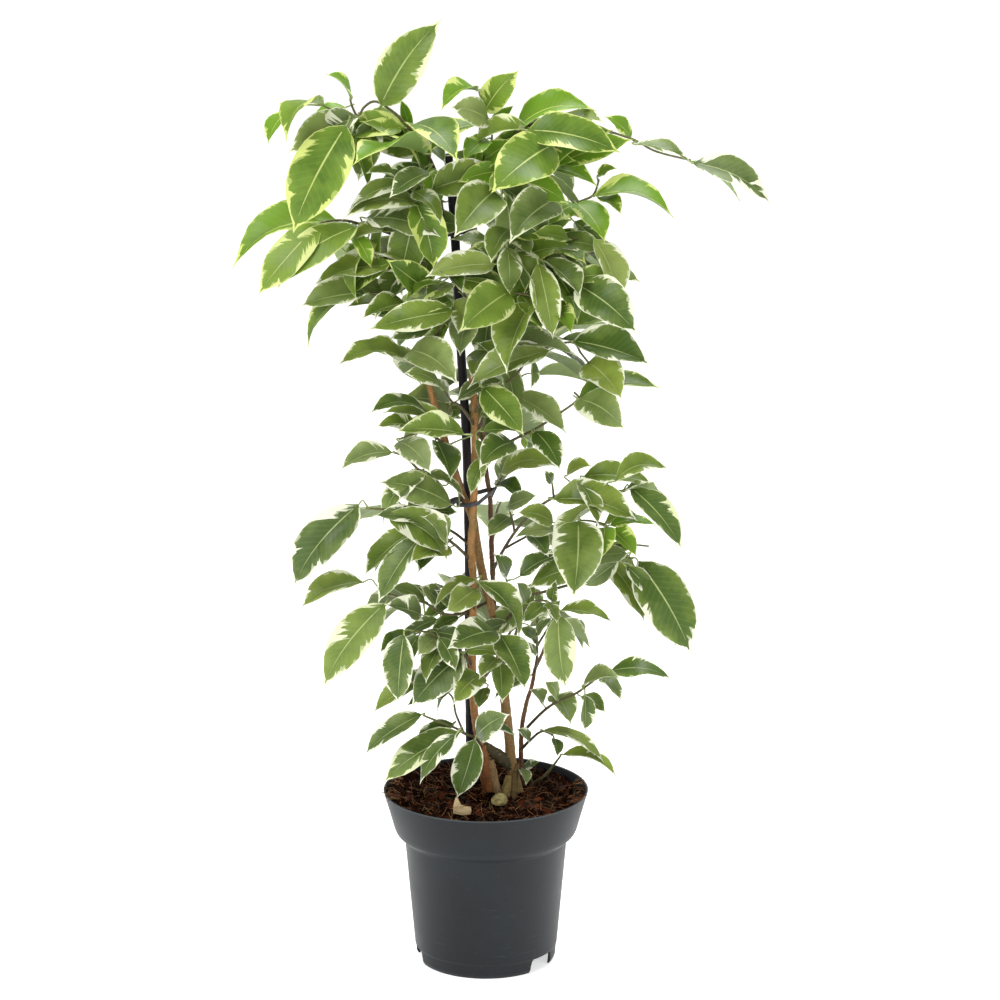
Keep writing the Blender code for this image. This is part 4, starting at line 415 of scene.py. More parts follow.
    "right_branch": dict(root=("back", 570), twigs=[
        [(500, 553, 4), (511, 535, -2), (525, 517, -6), (540, 504, -8), (553, 496, -10), (565, 488, -12),
        (578, 480, -13), (604, 489, -14), (625, 489, -15)], [(513, 531, -2), (511, 517, 2), (507, 506, 4)],
        [(553, 496, -10), (551, 481, -12)], [(503, 547, 2), (530, 533, 6), (553, 524, 4)]], leaves=[
        (552, 521, 515, 512, 20, 20, 6, -12, 0, "w"), (554, 529, 512, 537, 14, 40, 8, -5, 0, "w"),
        (530, 534, 548, 556, 20, 30, 6, 4, 0, "d"), (551, 481, 543, 469, 11, 20, 6, -3, 0, "c"),
        (566, 474, 592, 465, 14, 42, 6, 4, 0, "w"), (583, 475, 655, 487, 22, 38, 8, 4, 0, "g"),
        (614, 480, 669, 468, 20, 42, 18, -9, 0, "m"), (629, 486, 681, 549, 27, 36, 8, -3, 0, "v"),
        (553, 498, 637, 520, 30, 40, 12, -8, 0, "w"), (577, 481, 597, 525, 16, 55, 8, -5, -0.2, "c"),
        (507, 505, 537, 494, 17, 35, 6, -2, 0, "g"), (509, 516, 486, 536, 22, 30, 6, 10, 0, "g")]),
    "right_cluster": dict(root=("middle", 632), twigs=[
        [(513, 609, 0), (524, 596, -6), (545, 590, -12), (578, 580, -16), (597, 566, -18), (606, 545, -19),
        (607, 526, -20), (592, 520, -21), (578, 519, -22)], [(597, 566, -18), (616, 557, -20),
        (632, 557, -22)], [(606, 545, -19), (625, 543, -20), (648, 545, -21)]], leaves=[
        (577, 520, 572, 598, 50, 5, 5, -8, 0, "m"), (594, 528, 586, 553, 22, 20, 10, -4, 0, "l"),
        (604, 526, 600, 558, 28, 12, 6, -11, 0, "l"), (609, 524, 656, 524, 11, 55, 8, -3, 0.2, "l"),
        (604, 522, 640, 515, 12, 50, 8, 8, 0, "m"), (610, 529, 636, 556, 20, 30, 6, -4, 0, "l"),
        (606, 560, 643, 622, 28, 25, 8, 6, 0, "w"), (637, 560, 690, 654, 50, 10, 7, -3, 0, "k"),
        (634, 566, 676, 649, 14, 55, 6, 8, 0, "m")]),
    "low_middle": dict(root=("middle", 668), twigs=[
        [(512, 640, 0), (520, 618, -6), (530, 602, -10), (546, 600, -14), (558, 612, -16)], [(520, 618, -6),
        (511, 596, -8), (505, 578, -8)]], leaves=[
        (560, 609, 612, 621, 14, 48, 8, 5, 0, "w"), (551, 600, 555, 578, 12, 20, 5, 4, -0.2, "m"),
        (557, 613, 565, 688, 32, 2, 6, -5, 0, "b"), (545, 602, 522, 622, 16, 35, 6, -5, 0, "g"),
        (505, 577, 492, 552, 14, 40, 6, 5, 0, "d"), (524, 600, 515, 580, 14, 35, 5, -4, 0, "d"),
        (530, 602, 533, 580, 12, 30, 5, 13, 0, "g"), (547, 602, 556, 622, 15, 40, 6, -7, 0, "w")]),
    "low_front": dict(root=("front", 610), twigs=[
        [(476, 594, -18), (477, 582, -25)]], leaves=[
        (477, 580, 518, 640, 20, 42, 18, -3, 0, "c"), (475, 588, 444, 612, 27, 15, 6, -3, 0, "w"),
        (474, 578, 433, 606, 14, 60, 8, 11, 0, "w")]),
    "left_branch": dict(root=("front", 560), twigs=[
        [(452, 542, -14), (430, 529, -20), (408, 514, -24), (390, 509, -26), (365, 507, -28)]], leaves=[
        (358, 503, 292, 588, 41, 6, 6, -3, 0, "k"), (412, 530, 363, 575, 20, 42, 8, 5, 0, "m"),
        (428, 528, 372, 515, 15, 48, 8, -9, 0, "c"), (420, 535, 377, 602, 20, 30, 8, -6, 0, "d"),
        (449, 546, 408, 562, 24, 35, 8, -6, 0, "w"), (447, 541, 417, 572, 20, 45, 8, 10, 0, "d"),
        (446, 538, 420, 515, 20, 35, 6, -5, 0, "m")]),
    "left_branch_low": dict(root=("middle", 600), twigs=[
        [(462, 612, -8), (440, 612, -14), (425, 602, -18), (404, 597, -22), (378, 590, -25)]], leaves=[
        (362, 581, 299, 608, 22, 40, 12, 0, 0, "w"), (384, 602, 322, 687, 38, 6, 6, -5, 0, "b"),
        (420, 613, 383, 603, 22, 30, 6, -6, 0, "k"), (424, 600, 388, 586, 13, 41, 6, 5, 0, "m"),
        (440, 608, 418, 585, 20, 35, 6, 15, 0.2, "m"), (460, 610, 433, 588, 18, 26, 6, 9, 0, "d")]),
    "low_left": dict(root=("front", 665), twigs=[
        [(460, 650, -16), (446, 641, -22), (430, 632, -27), (410, 629, -30)]], leaves=[
        (403, 633, 397, 702, 31, 28, 6, -3, 0, "d"), (418, 634, 393, 690, 23, 38, 6, 5, 0, "m"),
        (462, 653, 410, 706, 39, 12, 8, -9, 0, "k"), (455, 646, 415, 637, 15, 50, 6, 10, 0, "m"),
        (436, 635, 416, 655, 22, 16, 5, 6, 0, "w"), (440, 645, 425, 682, 20, 35, 6, -2, 0, "m")]),
    "low_centre": dict(root=("front", 690), twigs=[
        [(482, 678, -14), (490, 668, -21), (497, 657, -26), (497, 636, -30)]], leaves=[
        (496, 630, 446, 648, 31, 30, 6, -6, 0, "k"), (499, 634, 525, 690, 31, 25, 8, -4, -0.2, "d"),
        (494, 642, 516, 655, 18, 40, 6, 19, 0, "m"), (496, 657, 478, 678, 26, 22, 5, -4, 0, "w"),
        (499, 661, 501, 702, 23, 28, 6, 2, 0, "g"), (480, 674, 452, 704, 29, 20, 6, -8, 0.2, "w"),
        (486, 686, 478, 708, 14, 30, 5, -3, 0, "w")]),
    "foot_left": dict(root=("front", 748), twigs=[
        [(476, 738, -12), (463, 732, -15), (455, 727, -18), (437, 720, -22), (422, 714, -25)],
        [(463, 732, -15), (455, 713, -14), (450, 694, -16), (430, 685, -20)], [(476, 738, -12),
        (475, 735, -20)]], leaves=[
        (474, 738, 456, 797, 29, 5, 5, -7, 0, "d"), (476, 734, 509, 713, 27, 15, 6, -4, 0, "d"),
        (478, 736, 516, 735, 10, 60, 14, 4, 0, "c"), (421, 713, 363, 754, 15, 40, 8, -3, 0, "c"),
        (452, 722, 415, 752, 19, 34, 8, 5, 0, "d"), (459, 731, 382, 782, 19, 32, 8, -5, 0, "v"),
        (455, 733, 419, 783, 17, 36, 8, -17, 0, "k"), (420, 685, 372, 712, 17, 45, 8, 0, 0, "w"),
        (446, 690, 405, 706, 15, 42, 6, 5, 0, "d"), (440, 686, 412, 668, 16, 40, 6, -2, 0.2, "m")]),
    "foot_right": dict(root=("right", 732), twigs=[
        [(540, 712, 16), (555, 701, 10), (575, 692, 6), (592, 680, 4), (606, 671, 2)]], leaves=[
        (542, 703, 528, 688, 14, 40, 6, 4, 0, "m"), (556, 697, 543, 680, 16, 30, 6, -4, 0, "g"),
        (553, 694, 570, 724, 26, 22, 6, 22, 0, "w"), (582, 685, 622, 678, 14, 52, 14, -3, 0, "w"),
        (609, 670, 672, 679, 19, 45, 10, 0, 0, "d"), (580, 695, 605, 712, 14, 40, 6, 4, 0, "m"),
        (584, 694, 584, 730, 15, 35, 6, -9, 0, "c"), (600, 676, 620, 700, 14, 45, 6, 5, 0, "m")]),
    "foot_right_low": dict(root=("right", 748), twigs=[
        [(530, 738, 20), (541, 730, 12), (552, 734, 8)]], leaves=[
        (542, 729, 603, 762, 9, 62, 8, -3, 0, "w"), (553, 737, 556, 756, 11, 35, 5, 3, 0, "d"),
        (528, 740, 515, 728, 10, 40, 5, -3, 0, "m")]),
    "right_thin": dict(root=("right", 672), twigs=[
        [(536, 655, 13), (536, 632, 7), (537, 604, 4)], [(536, 645, 10), (545, 630, 9), (552, 618, 8)]],
        leaves=[
        (537, 634, 552, 616, 9, 40, 6, -4, 0, "m"), (538, 603, 528, 584, 10, 35, 6, 4, 0, "m"),
        (536, 652, 520, 644, 10, 40, 5, -3, 0, "c"), (536, 640, 518, 626, 12, 40, 5, 6, 0, "d"),
        (549, 634, 566, 646, 11, 45, 6, 4, 0, "m"), (552, 619, 560, 598, 12, 40, 5, 7, 0, "m")]),
    "base_sprout": dict(root=("soil", 0), twigs=[
        [(532, 800, 17), (532, 783, 16), (543, 775, 13), (554, 762, 10), (560, 754, 8)], [(532, 783, 16),
        (529, 776, 15), (523, 769, 14)]], leaves=[
        (562, 753, 617, 778, 12, 58, 8, -2, 0, "w"), (523, 768, 539, 760, 9, 35, 5, 5, 0, "c"),
        (521, 769, 525, 784, 16, 25, 5, -4, 0, "g")]),
}

# Sprays at the back: a name, a stem and the row to leave it, the heading of the leaves in degrees from
# straight back, the reach in mm, how far the twig turns from that heading, and for each of six leaves how
# its fall, spread and climb are changed, or None where there is no room for it
hiddenSprays = [
    ("back_01", "middle", 655, 20, 50, 0, [0, 0, None, 0, 0, 0]),
    ("back_02", "front", 622, -36, 48, 8, [0, 0, 0, (0, 0, -0.3), None, None]),
    ("back_03", "back", 545, 6, 52, 0, [(0, 0, -0.3), None, None, None, None, (0.3, 0, -0.3)]),
    ("back_04", "middle", 552, -50, 54, -8, [(0, -0.3, 0), 0, 0, None, (-0.3, 0.3, 0), (0, 0, 0.3)]),
    ("back_06", "front", 455, -20, 56, 24, [(-0.3, 0.3, 0.3), 0, 0, 0, 0, 0]),
    ("back_07", "back", 420, 8, 58, 16, [None, 0, None, (0, -0.3, 0), 0, None]),
    ("back_08", "middle", 372, -52, 34, 0, [(0, 0.3, 0), None, None, None, None, None]),
    ("back_09", "back", 345, -4, 62, 0, [0, 0, (0, -0.3, 0), 0, 0, 0]),
    ("back_10", "front", 372, 60, 56, 0, [0, 0, 0, 0, 0, 0]),
    ("back_11", "back", 290, 38, 60, 0, [0, 0, 0, 0, 0, 0]),
    ("back_12", "middle", 290, -58, 58, 0, [0, 0, 0, None, (0, 0, 0.3), 0]),
    ("back_13", "back", 236, -14, 58, 0, [0, 0, 0, 0, 0, 0]),
    ("back_14", "back", 200, 44, 48, 0, [None, 0, 0, (0, 0, 0.3), None, 0]),
]
# Along a hidden twig: the share of its reach and how far it has climbed, as a share of its reach, and then
# the share and the side of each leaf
hiddenTwig = ((0.3, 0.18), (0.62, 0.26), (1.0, 0.24))
hiddenSides = ((0.42, 1), (0.55, -1), (0.68, 1), (0.8, -1), (0.9, 1), (1.0, -1))
hiddenSize = dict(seed=41, length=40, longer=16, broad=0.46, droop=0.08, stalk=8, stalkMore=4, out=0.6,
                  ending=0.97, endSpread=0.15, tones="dmcm")

# Where the photograph is leafy right through, as corners in pixels. The leaves that fill the crown stay
# inside.
leafyParts = [
    [(288, 112), (345, 106), (395, 118), (440, 110), (480, 112), (505, 128), (545, 104), (590, 104),
     (620, 124), (626, 150), (598, 168), (540, 184), (556, 204), (600, 200), (622, 240), (630, 330),
     (604, 350), (560, 344), (516, 374), (534, 424), (496, 486), (466, 500), (452, 440), (376, 434),
     (430, 404), (424, 352), (368, 330), (344, 300), (342, 240), (372, 196), (330, 160), (300, 196),
     (286, 180)],
    [(528, 556), (548, 528), (600, 500), (612, 478), (660, 470), (672, 520), (650, 546), (664, 596),
     (634, 604), (600, 578), (560, 596)],
    [(372, 640), (424, 612), (470, 596), (524, 612), (532, 694), (488, 712), (400, 712), (376, 684)],
    [(388, 478), (432, 468), (464, 490), (466, 590), (430, 576), (382, 526)],
    [(500, 572), (560, 566), (574, 586), (520, 606)]]
# Their number, the choices for each, and how far their middles stay from the cane, with their sizes in
# pixels, their angles in degrees, and the tones to draw from down to each row
fillSize = dict(seed=12, count=125, choices=40, clear=15, cane=((447, 153), (469, 730)), caneSpots=40,
                along=(0.1, 0.9), inward=0.3, angle=(-25, 88), sway=(-50, 30), stalk=(7, 17), long=(38, 78),
                low=0.84, lowRow=560, broad=0.46, vary=(0.9, 1.12), turn=68, droop=(5, 14), ahead=(-10, 20),
                lean=(-0.3, 0.35), trunk=478, edge=0.45,
                tones=((330, "bymgcv"), (560, "mmgcbdw"), (1000, "mgcdk")))
# Twig radii in mm, and the shares of a twig's length where leaves may leave it
twigSize = dict(first=1.0, last=0.6, side=0.75, sideLast=0.55, root=9, foot=0.04, joint=0.98, tip=0.9)
# share turns the width that is seen into the blade's own, and the lengths are in mm
leafSize = dict(share=0.594, widest=0.52, slimmest=0.36, stretch=1.45, longest=74, least=4, edgeOn=0.3,
                forward=0.12)


def stemPoints(path):
    return [placeOf(column, row, depth) for column, row, depth, radius in path]


def alongStem(name, row):
    # The place, radius and heading of a stem at a row of the picture
    path = stemPaths[name]
    points = stemPoints(path)
    for (low, high), a, b in zip(zip(path, path[1:]), points, points[1:]):
        if high[1] <= row <= low[1]:
            share = (low[1] - row) / (low[1] - high[1])
            return a.lerp(b, share), (low[3] + (high[3] - low[3]) * share) * mm, (b - a).normalized()
    return points[-1], path[-1][3] * mm, (points[-1] - points[-2]).normalized()


def turnedFace(base, tip, turn):
    # Which way the upper face looks: at 0 towards the photograph's eye, and at 90 up
    along = (tip - base).normalized()
    sight = (view["eye"] - (base + tip) / 2).normalized()
    front = (sight - along * sight.dot(along)).normalized()
    up = along.cross(front)
    if up.z < 0:
        up = -up
    angle = math.radians(turn)
    return (front * math.cos(angle) + up * math.sin(angle)).normalized()


def nearestOnTwigs(twigs, column, row):
    # The place on a spray's twigs that the picture shows nearest to this column and row
    best = None
    for points in twigs:
        seen = [pictureOf(point) for point in points]
        for index in range(len(seen) - 1):
            (ax, ay), (bx, by) = seen[index], seen[index + 1]
            squared = (bx - ax) ** 2 + (by - ay) ** 2
            share = ((column - ax) * (bx - ax) + (row - ay) * (by - ay)) / max(squared, 1e-9)
            most = twigSize["joint"] if index < len(seen) - 2 else twigSize["tip"]
            share = max(twigSize["foot"], min(most, share))
            away = math.hypot(column - ax - (bx - ax) * share, row - ay - (by - ay) * share)
            if best is None or away < best[0]:
                best = (away, points[index].lerp(points[index + 1], share))
    return best[1]


def pictureLeaf(twigs, line):
    # A leaf from its line in the table
    column0, row0, column1, row1, shown, turn, droop, ahead, lean, tone = line
    attach = nearestOnTwigs(twigs, column0, row0)
    depth = attach.y / mm + ahead
    base = placeOf(column0, row0, depth)
    flat = (placeOf(column1, row1, depth) - base).length
    width = shown * leafSize["share"] * mm / max(math.cos(math.radians(turn)), leafSize["edgeOn"])
    length = min(max(flat, width / leafSize["widest"]), flat * leafSize["stretch"], leafSize["longest"] * mm)
    length = max(length, flat)
    width = max(min(width, length * leafSize["widest"]), length * leafSize["slimmest"],
                leafSize["least"] * mm)
    toward = -math.sqrt(max(length ** 2 - flat ** 2, 0.0)) + flat * (lean - leafSize["forward"])
    tip = placeOf(column1, row1, depth + toward / mm)
    return dict(attach=attach, base=base, tip=tip, face=turnedFace(base, tip, turn), width=width,
                droop=droop / 100, tone=tone, row=(row0 + row1) / 2)


def hiddenLeaf(points, share, side, draw, out, change):
    # A leaf at the back, from five draws: its length, its fall, its spread, its stalk and its roll
    position = share * (len(points) - 1)
    index = min(int(position), len(points) - 2)
    most = 0.88 if index == len(points) - 2 else 1.0
    attach = points[index].lerp(points[index + 1], max(0.05, min(most, position - index)))
    along = (points[index + 1] - points[index]).normalized()
    sideways = along.cross(Vector((0, 0, 1))).normalized() * side
    ending = share > hiddenSize["ending"]
    length = (hiddenSize["length"] + hiddenSize["longer"] * draw[0]) * mm
    down = 0.25 + 0.75 * draw[1] + change[0]
    spread = (0.5 + 0.5 * draw[2] + change[1]) * (hiddenSize["endSpread"] if ending else 1.0)
    chord = out * (1.0 if ending else hiddenSize["out"]) + sideways * spread - Vector((0, 0, down))
    chord = chord.normalized()
    stalk = (out * 0.4 + sideways * spread + Vector((0, 0, 0.15 + change[2]))).normalized()
    base = attach + stalk * ((hiddenSize["stalk"] + hiddenSize["stalkMore"] * draw[3]) * mm)
    up = Vector((0, 0, 1)) + out * 0.5 + sideways * (0.6 * draw[4] - 0.3)
    face = (up - chord * up.dot(chord)).normalized()
    return dict(attach=attach, base=base, tip=base + chord * length, face=face,
                width=length * hiddenSize["broad"], droop=hiddenSize["droop"],
                tone=hiddenSize["tones"][int(draw[0] * 3.99)], row=pictureOf(base)[1])


def inLeafyPart(column, row):
    # True where a level line to the right crosses a part's edge an odd number of times
    for corners in leafyParts:
        crossed = False
        for (ax, ay), (bx, by) in zip(corners, corners[1:] + corners[:1]):
            if (ay > row) != (by > row) and column < ax + (bx - ax) * (row - ay) / (by - ay):
                crossed = not crossed
        if crossed:
            return True
    return False


def fillLine(twigs, draws):
    # A line like those of the table, for a leaf that leaves its twig anywhere and hangs outwards
    points = draws.choice(twigs)
    index = draws.randrange(len(points) - 1)
    column, row = pictureOf(points[index].lerp(points[index + 1], draws.uniform(*fillSize["along"])))
    side = (-1 if column < fillSize["trunk"] else 1) * (-1 if draws.random() < fillSize["inward"] else 1)
    angle = math.radians(draws.uniform(*fillSize["angle"]))
    sway = angle + math.radians(draws.uniform(*fillSize["sway"]))
    stalk = draws.uniform(*fillSize["stalk"])
    long = draws.uniform(*fillSize["long"]) * (fillSize["low"] if row > fillSize["lowRow"] else 1)
    turn = draws.uniform(0, fillSize["turn"])
    shown = long * fillSize["broad"] * math.cos(math.radians(turn)) * draws.uniform(*fillSize["vary"])
    column, row = column + side * math.cos(sway) * stalk, row + math.sin(sway) * stalk
    tones = [letters for last, letters in fillSize["tones"] if row < last][0]
    return (column, row, column + side * math.cos(angle) * long, row + math.sin(angle) * long, shown, turn,
            draws.uniform(*fillSize["droop"]), draws.uniform(*fillSize["ahead"]),
            draws.uniform(*fillSize["lean"]), draws.choice(tones))


def fillCrown(placed, lines):
    # Half-hidden leaves, each the loneliest of several choices, kept where the photograph is leafy right
    # through
    draws = random.Random(fillSize["seed"])
    middles = [((line[0] + line[2]) / 2, (line[1] + line[3]) / 2) for line in lines]
    names = [name for name in sprays if sprays[name]["root"][0] != "soil"]
    (left, top), (right, foot) = fillSize["cane"]
    steps = fillSize["caneSpots"]
    caneSpots = [(left + (right - left) * step / steps, top + (foot - top) * step / steps)
                 for step in range(steps + 1)]
    lengths = [sum((b - a).length for twig in placed[name]["twigs"] for a, b in zip(twig, twig[1:]))
               for name in names]
    for number in range(fillSize["count"]):
        best = None
        for name in draws.choices(names, lengths, k=fillSize["choices"]):
            line = fillLine(placed[name]["twigs"], draws)
            column, row = (line[0] + line[2]) / 2, (line[1] + line[3]) / 2
            across = Vector((line[3] - line[1], line[0] - line[2])).normalized() * line[4] * fillSize["edge"]
            edges = [line[:2], line[2:4], (column + across.x, row + across.y),
                     (column - across.x, row - across.y)]
            clear = min(math.hypot(column - x, row - y) for x, y in caneSpots)
            if clear > fillSize["clear"] and all(inLeafyPart(*edge) for edge in edges):
                lonely = min(math.hypot(column - x, row - y) for x, y in middles)
                if best is None or lonely > best[0]:
                    best = (lonely, name, line, (column, row))
        if best:
            middles.append(best[3])
            placed[best[1]]["leaves"].append(pictureLeaf(placed[best[1]]["twigs"], best[2]))


def layPlant():
    # Every spray's twigs, as rows of points, and its leaves
    placed = {}
    for name, spray in sprays.items():
        stem, row = spray["root"]
        first = [placeOf(*place) for place in spray["twigs"][0]]
        if stem == "soil":
            first[0] = first[1] - Vector((0, 0, twigSize["root"] * mm))
        else:
            first.insert(0, alongStem(stem, row)[0])
        twigs = [first]
        for places in spray["twigs"][1:]:
            joint = nearestOnTwigs(twigs[:1], *places[0][:2])
            moved = joint.y / mm - places[0][2]
            twigs.append([joint] + [placeOf(column, line, depth + moved)
                                    for column, line, depth in places[1:]])
        placed[name] = dict(twigs=twigs, leaves=[pictureLeaf(twigs, line) for line in spray["leaves"]])
    fillCrown(placed, [line for spray in sprays.values() for line in spray["leaves"]])
    draws = random.Random(hiddenSize["seed"])
    for name, stem, row, heading, reach, turn, changes in hiddenSprays:
        start = alongStem(stem, row)[0]
        out, away = [Vector((math.sin(math.radians(angle)), math.cos(math.radians(angle)), 0))
                     for angle in (heading, heading + turn)]
        points = [start]
        for share, climb in hiddenTwig:
            points.append(start + away * (reach * mm * share) + Vector((0, 0, reach * mm * climb)))
        leaves = []
        for (share, side), change in zip(hiddenSides, changes):
            draw = [draws.random() for number in range(5)]
            if change is not None:
                leaves.append(hiddenLeaf(points, share, side, draw, out, change or (0, 0, 0)))
        placed[name] = dict(twigs=[points], leaves=leaves)
    return placed


# Bark, twigs, petioles and fibres are all tubes along lines of points
def makeTubeTree():
    tree, given = newTree("tubes", Step=1.5 * mm, Sides=8, Rough=0.0, Grain=300.0, Finish=None)
    line = put(tree, "GeometryNodeMeshToCurve", given["Geometry"])
    line = put(tree, "GeometryNodeCurveSplineType", line, spline_type="CATMULL_ROM")
    line = put(tree, "GeometryNodeResampleCurve", line, None, given["Step"], mode="LENGTH")
    ring = put(tree, "GeometryNodeCurvePrimitiveCircle", given["Sides"], 1.0)
    thick = put(tree, "GeometryNodeInputNamedAttribute", "thick", data_type="FLOAT")
    skin = put(tree, "GeometryNodeCurveToMesh", line, ring, thick, True)
    bumps = put(tree, "ShaderNodeTexNoise", None, given["Grain"], 3.0, 0.6)
    high = put(tree, "ShaderNodeMapRange", bumps, 0.3, 0.7, -1.0, 1.0)
    high = put(tree, "ShaderNodeMath", high, given["Rough"], operation="MULTIPLY")
    push = put(tree, "ShaderNodeVectorMath", put(tree, "GeometryNodeInputNormal"), Scale=high,
               operation="SCALE")
    skin = put(tree, "GeometryNodeSetPosition", skin, Offset=push)
    skin = put(tree, "GeometryNodeSetShadeSmooth", skin, None, True)
    skin = put(tree, "GeometryNodeRealizeInstances", skin)
    skin = put(tree, "GeometryNodeSetMaterial", skin, Material=given["Finish"])
    put(tree, "NodeGroupOutput", skin, out=None)
    return tree


def strandMesh(name, strands):
    # Lines of points with radius, tint and wear, for the tube tree
    corners, edges, thick, tint = [], [], [], []
    for strand in strands:
        first = len(corners)
        count = len(strand["points"])
        for index, point in enumerate(strand["points"]):
            share = index / (count - 1)
            corners.append(point)
            thick.append(strand["radii"][index] if "radii" in strand else
                         strand["first"] + (strand["last"] - strand["first"]) * share)
            a, b = strand["tints"]
            tint.append([a[part] + (b[part] - a[part]) * share for part in range(4)])
            if index:
                edges.append((first + index - 1, first + index))
    return meshOf(name, corners, edges, thick=thick, tint=tint)


# Leaves: the blade's inputs, its half outline as shares of length and width, and the ranges that each leaf
# draws from
leafShape = dict(
    inputs=dict(Sides=8, Rings=10, Arch=0.22, Thick=0.45 * mm, Keel=0.35 * mm), seed=23,
    outline=[(0, 0.03), (0.03, 0.24), (0.10, 0.60), (0.23, 0.91), (0.38, 1.0), (0.53, 0.97), (0.66, 0.83),
             (0.77, 0.60), (0.85, 0.35), (0.905, 0.15), (0.95, 0.07), (1, 0.0)],
    sway=(-0.035, 0.035), wave=((0.05, 0.24), (6, 13), (0, 6.28)),
    bend=((-0.6, 0.6), (0.12, 0.7), (0.0, 0.18)), shade=(-0.15, 0.15), patch=(0.6, 1.4), own=(0, 60),
    lowRow=560, highRow=160)


def makeLeafTree():
    # Each point is a leaf's base, and carries its chord, its face, its size and how its edge waves
    tree, given = newTree("leaves", **leafShape["inputs"], Finish=None)
    points = put(tree, "GeometryNodeStoreNamedAttribute", given["Geometry"], None, "root",
                 put(tree, "GeometryNodeInputPosition"), data_type="FLOAT_VECTOR")
    blank = put(tree, "GeometryNodeMeshCylinder", given["Sides"], given["Rings"], 1, 1.0, 1.0)
    blades = put(tree, "GeometryNodeInstanceOnPoints", points, None, blank)
    blades = put(tree, "GeometryNodeRealizeInstances", blades)
    root, chord, face, size, wave, bend = [
        put(tree, "GeometryNodeInputNamedAttribute", name, data_type="FLOAT_VECTOR")
        for name in ("root", "chord", "face", "size", "wave", "bend")]
    inside = put(tree, "ShaderNodeVectorMath", put(tree, "GeometryNodeInputPosition"), root,
                 operation="SUBTRACT")
    across, up, along = put(tree, "ShaderNodeSeparateXYZ", inside, out=None).outputs
    along = put(tree, "ShaderNodeMath", along, 0.5, operation="ADD")
    even = put(tree, "ShaderNodeMapRange", along, interpolation_type="SMOOTHSTEP")
    along = put(tree, "ShaderNodeMix", 0.45, along, even)
    side = put(tree, "ShaderNodeMath", put(tree, "ShaderNodeMath", up, 20.0, operation="MULTIPLY"), 1.0,
               operation="MINIMUM")
    side = put(tree, "ShaderNodeMath", side, -1.0, operation="MAXIMUM")
    place = put(tree, "ShaderNodeCombineXYZ", along, across, side)
    blades = put(tree, "GeometryNodeStoreNamedAttribute", blades, None, "place", place,
                 data_type="FLOAT_VECTOR")
    # After the store the same sockets would read the old positions, so the rest reads the stored place
    place = put(tree, "GeometryNodeInputNamedAttribute", "place", data_type="FLOAT_VECTOR")
    along, across, side = put(tree, "ShaderNodeSeparateXYZ", place, out=None).outputs
    (width, droop, sway), (ruffle, waves, phase), (twist, fold, curve) = [
        put(tree, "ShaderNodeSeparateXYZ", drawn, out=None).outputs for drawn in (size, wave, bend)]
    length = put(tree, "ShaderNodeVectorMath", chord, operation="LENGTH")
    heading = put(tree, "ShaderNodeVectorMath", chord, operation="NORMALIZE")
    beside = put(tree, "ShaderNodeVectorMath", face, heading, operation="CROSS_PRODUCT")
    half = put(tree, "ShaderNodeFloatCurve", 1.0, along, stops=leafShape["outline"])
    half = put(tree, "ShaderNodeMath", half, width, operation="MULTIPLY")
    half = put(tree, "ShaderNodeMath", half, 0.5, operation="MULTIPLY")
    away = put(tree, "ShaderNodeMath", across, operation="ABSOLUTE")
    back = put(tree, "ShaderNodeMath", 1.0, along, operation="SUBTRACT")
    bow = along
    for factor in (back, 4.0, length):
        bow = put(tree, "ShaderNodeMath", bow, factor, operation="MULTIPLY")
    # The two halves fold up from the midrib and arch over towards the edge
    spare = put(tree, "ShaderNodeMath", 1.0, away, operation="SUBTRACT")
    rise = put(tree, "ShaderNodeMath", given["Arch"], spare, operation="MULTIPLY")
    rise = put(tree, "ShaderNodeMath", rise, fold, operation="ADD")
    rise = put(tree, "ShaderNodeMath", rise, away, operation="MULTIPLY")
    # The edge waves, each side in its own time
    turn = put(tree, "ShaderNodeMath", along, waves, phase, operation="MULTIPLY_ADD")
    turn = put(tree, "ShaderNodeMath", across, 1.4, turn, operation="MULTIPLY_ADD")
    swing = put(tree, "ShaderNodeMath", turn, operation="SINE")
    for factor in (ruffle, put(tree, "ShaderNodeMath", away, 2.0, operation="POWER")):
        swing = put(tree, "ShaderNodeMath", swing, factor, operation="MULTIPLY")
    rise = put(tree, "ShaderNodeMath", rise, swing, operation="ADD")
    rise = put(tree, "ShaderNodeMath", rise, half, operation="MULTIPLY")
    # Half the thickness to each face, and a keel under the midrib that thins towards the tip
    slim = put(tree, "ShaderNodeMath", spare, 0.6, 0.4, operation="MULTIPLY_ADD")
    for factor in (given["Thick"], 0.5):
        slim = put(tree, "ShaderNodeMath", slim, factor, operation="MULTIPLY")
    ridge = put(tree, "ShaderNodeMath", away, 0.1, operation="LESS_THAN")
    for factor in (back, given["Keel"], put(tree, "ShaderNodeMath", side, 0.0, operation="LESS_THAN")):
        ridge = put(tree, "ShaderNodeMath", ridge, factor, operation="MULTIPLY")
    slim = put(tree, "ShaderNodeMath", ridge, slim, operation="ADD")
    rise = put(tree, "ShaderNodeMath", slim, side, rise, operation="MULTIPLY_ADD")
    wide = put(tree, "ShaderNodeMath", half, across, operation="MULTIPLY")
    # The blade turns a little about its midrib from stalk to tip
    angle = put(tree, "ShaderNodeMath", along, 0.4, operation="SUBTRACT")
    angle = put(tree, "ShaderNodeMath", angle, twist, operation="MULTIPLY")
    section = put(tree, "ShaderNodeCombineXYZ", wide, rise, 0.0)
    section = put(tree, "ShaderNodeVectorRotate", section, Angle=angle, rotation_type="Z_AXIS")
    wide, rise = put(tree, "ShaderNodeSeparateXYZ", section, out=None).outputs[:2]
    rise = put(tree, "ShaderNodeMath", bow, droop, rise, operation="MULTIPLY_ADD")
    wide = put(tree, "ShaderNodeMath", bow, sway, wide, operation="MULTIPLY_ADD")
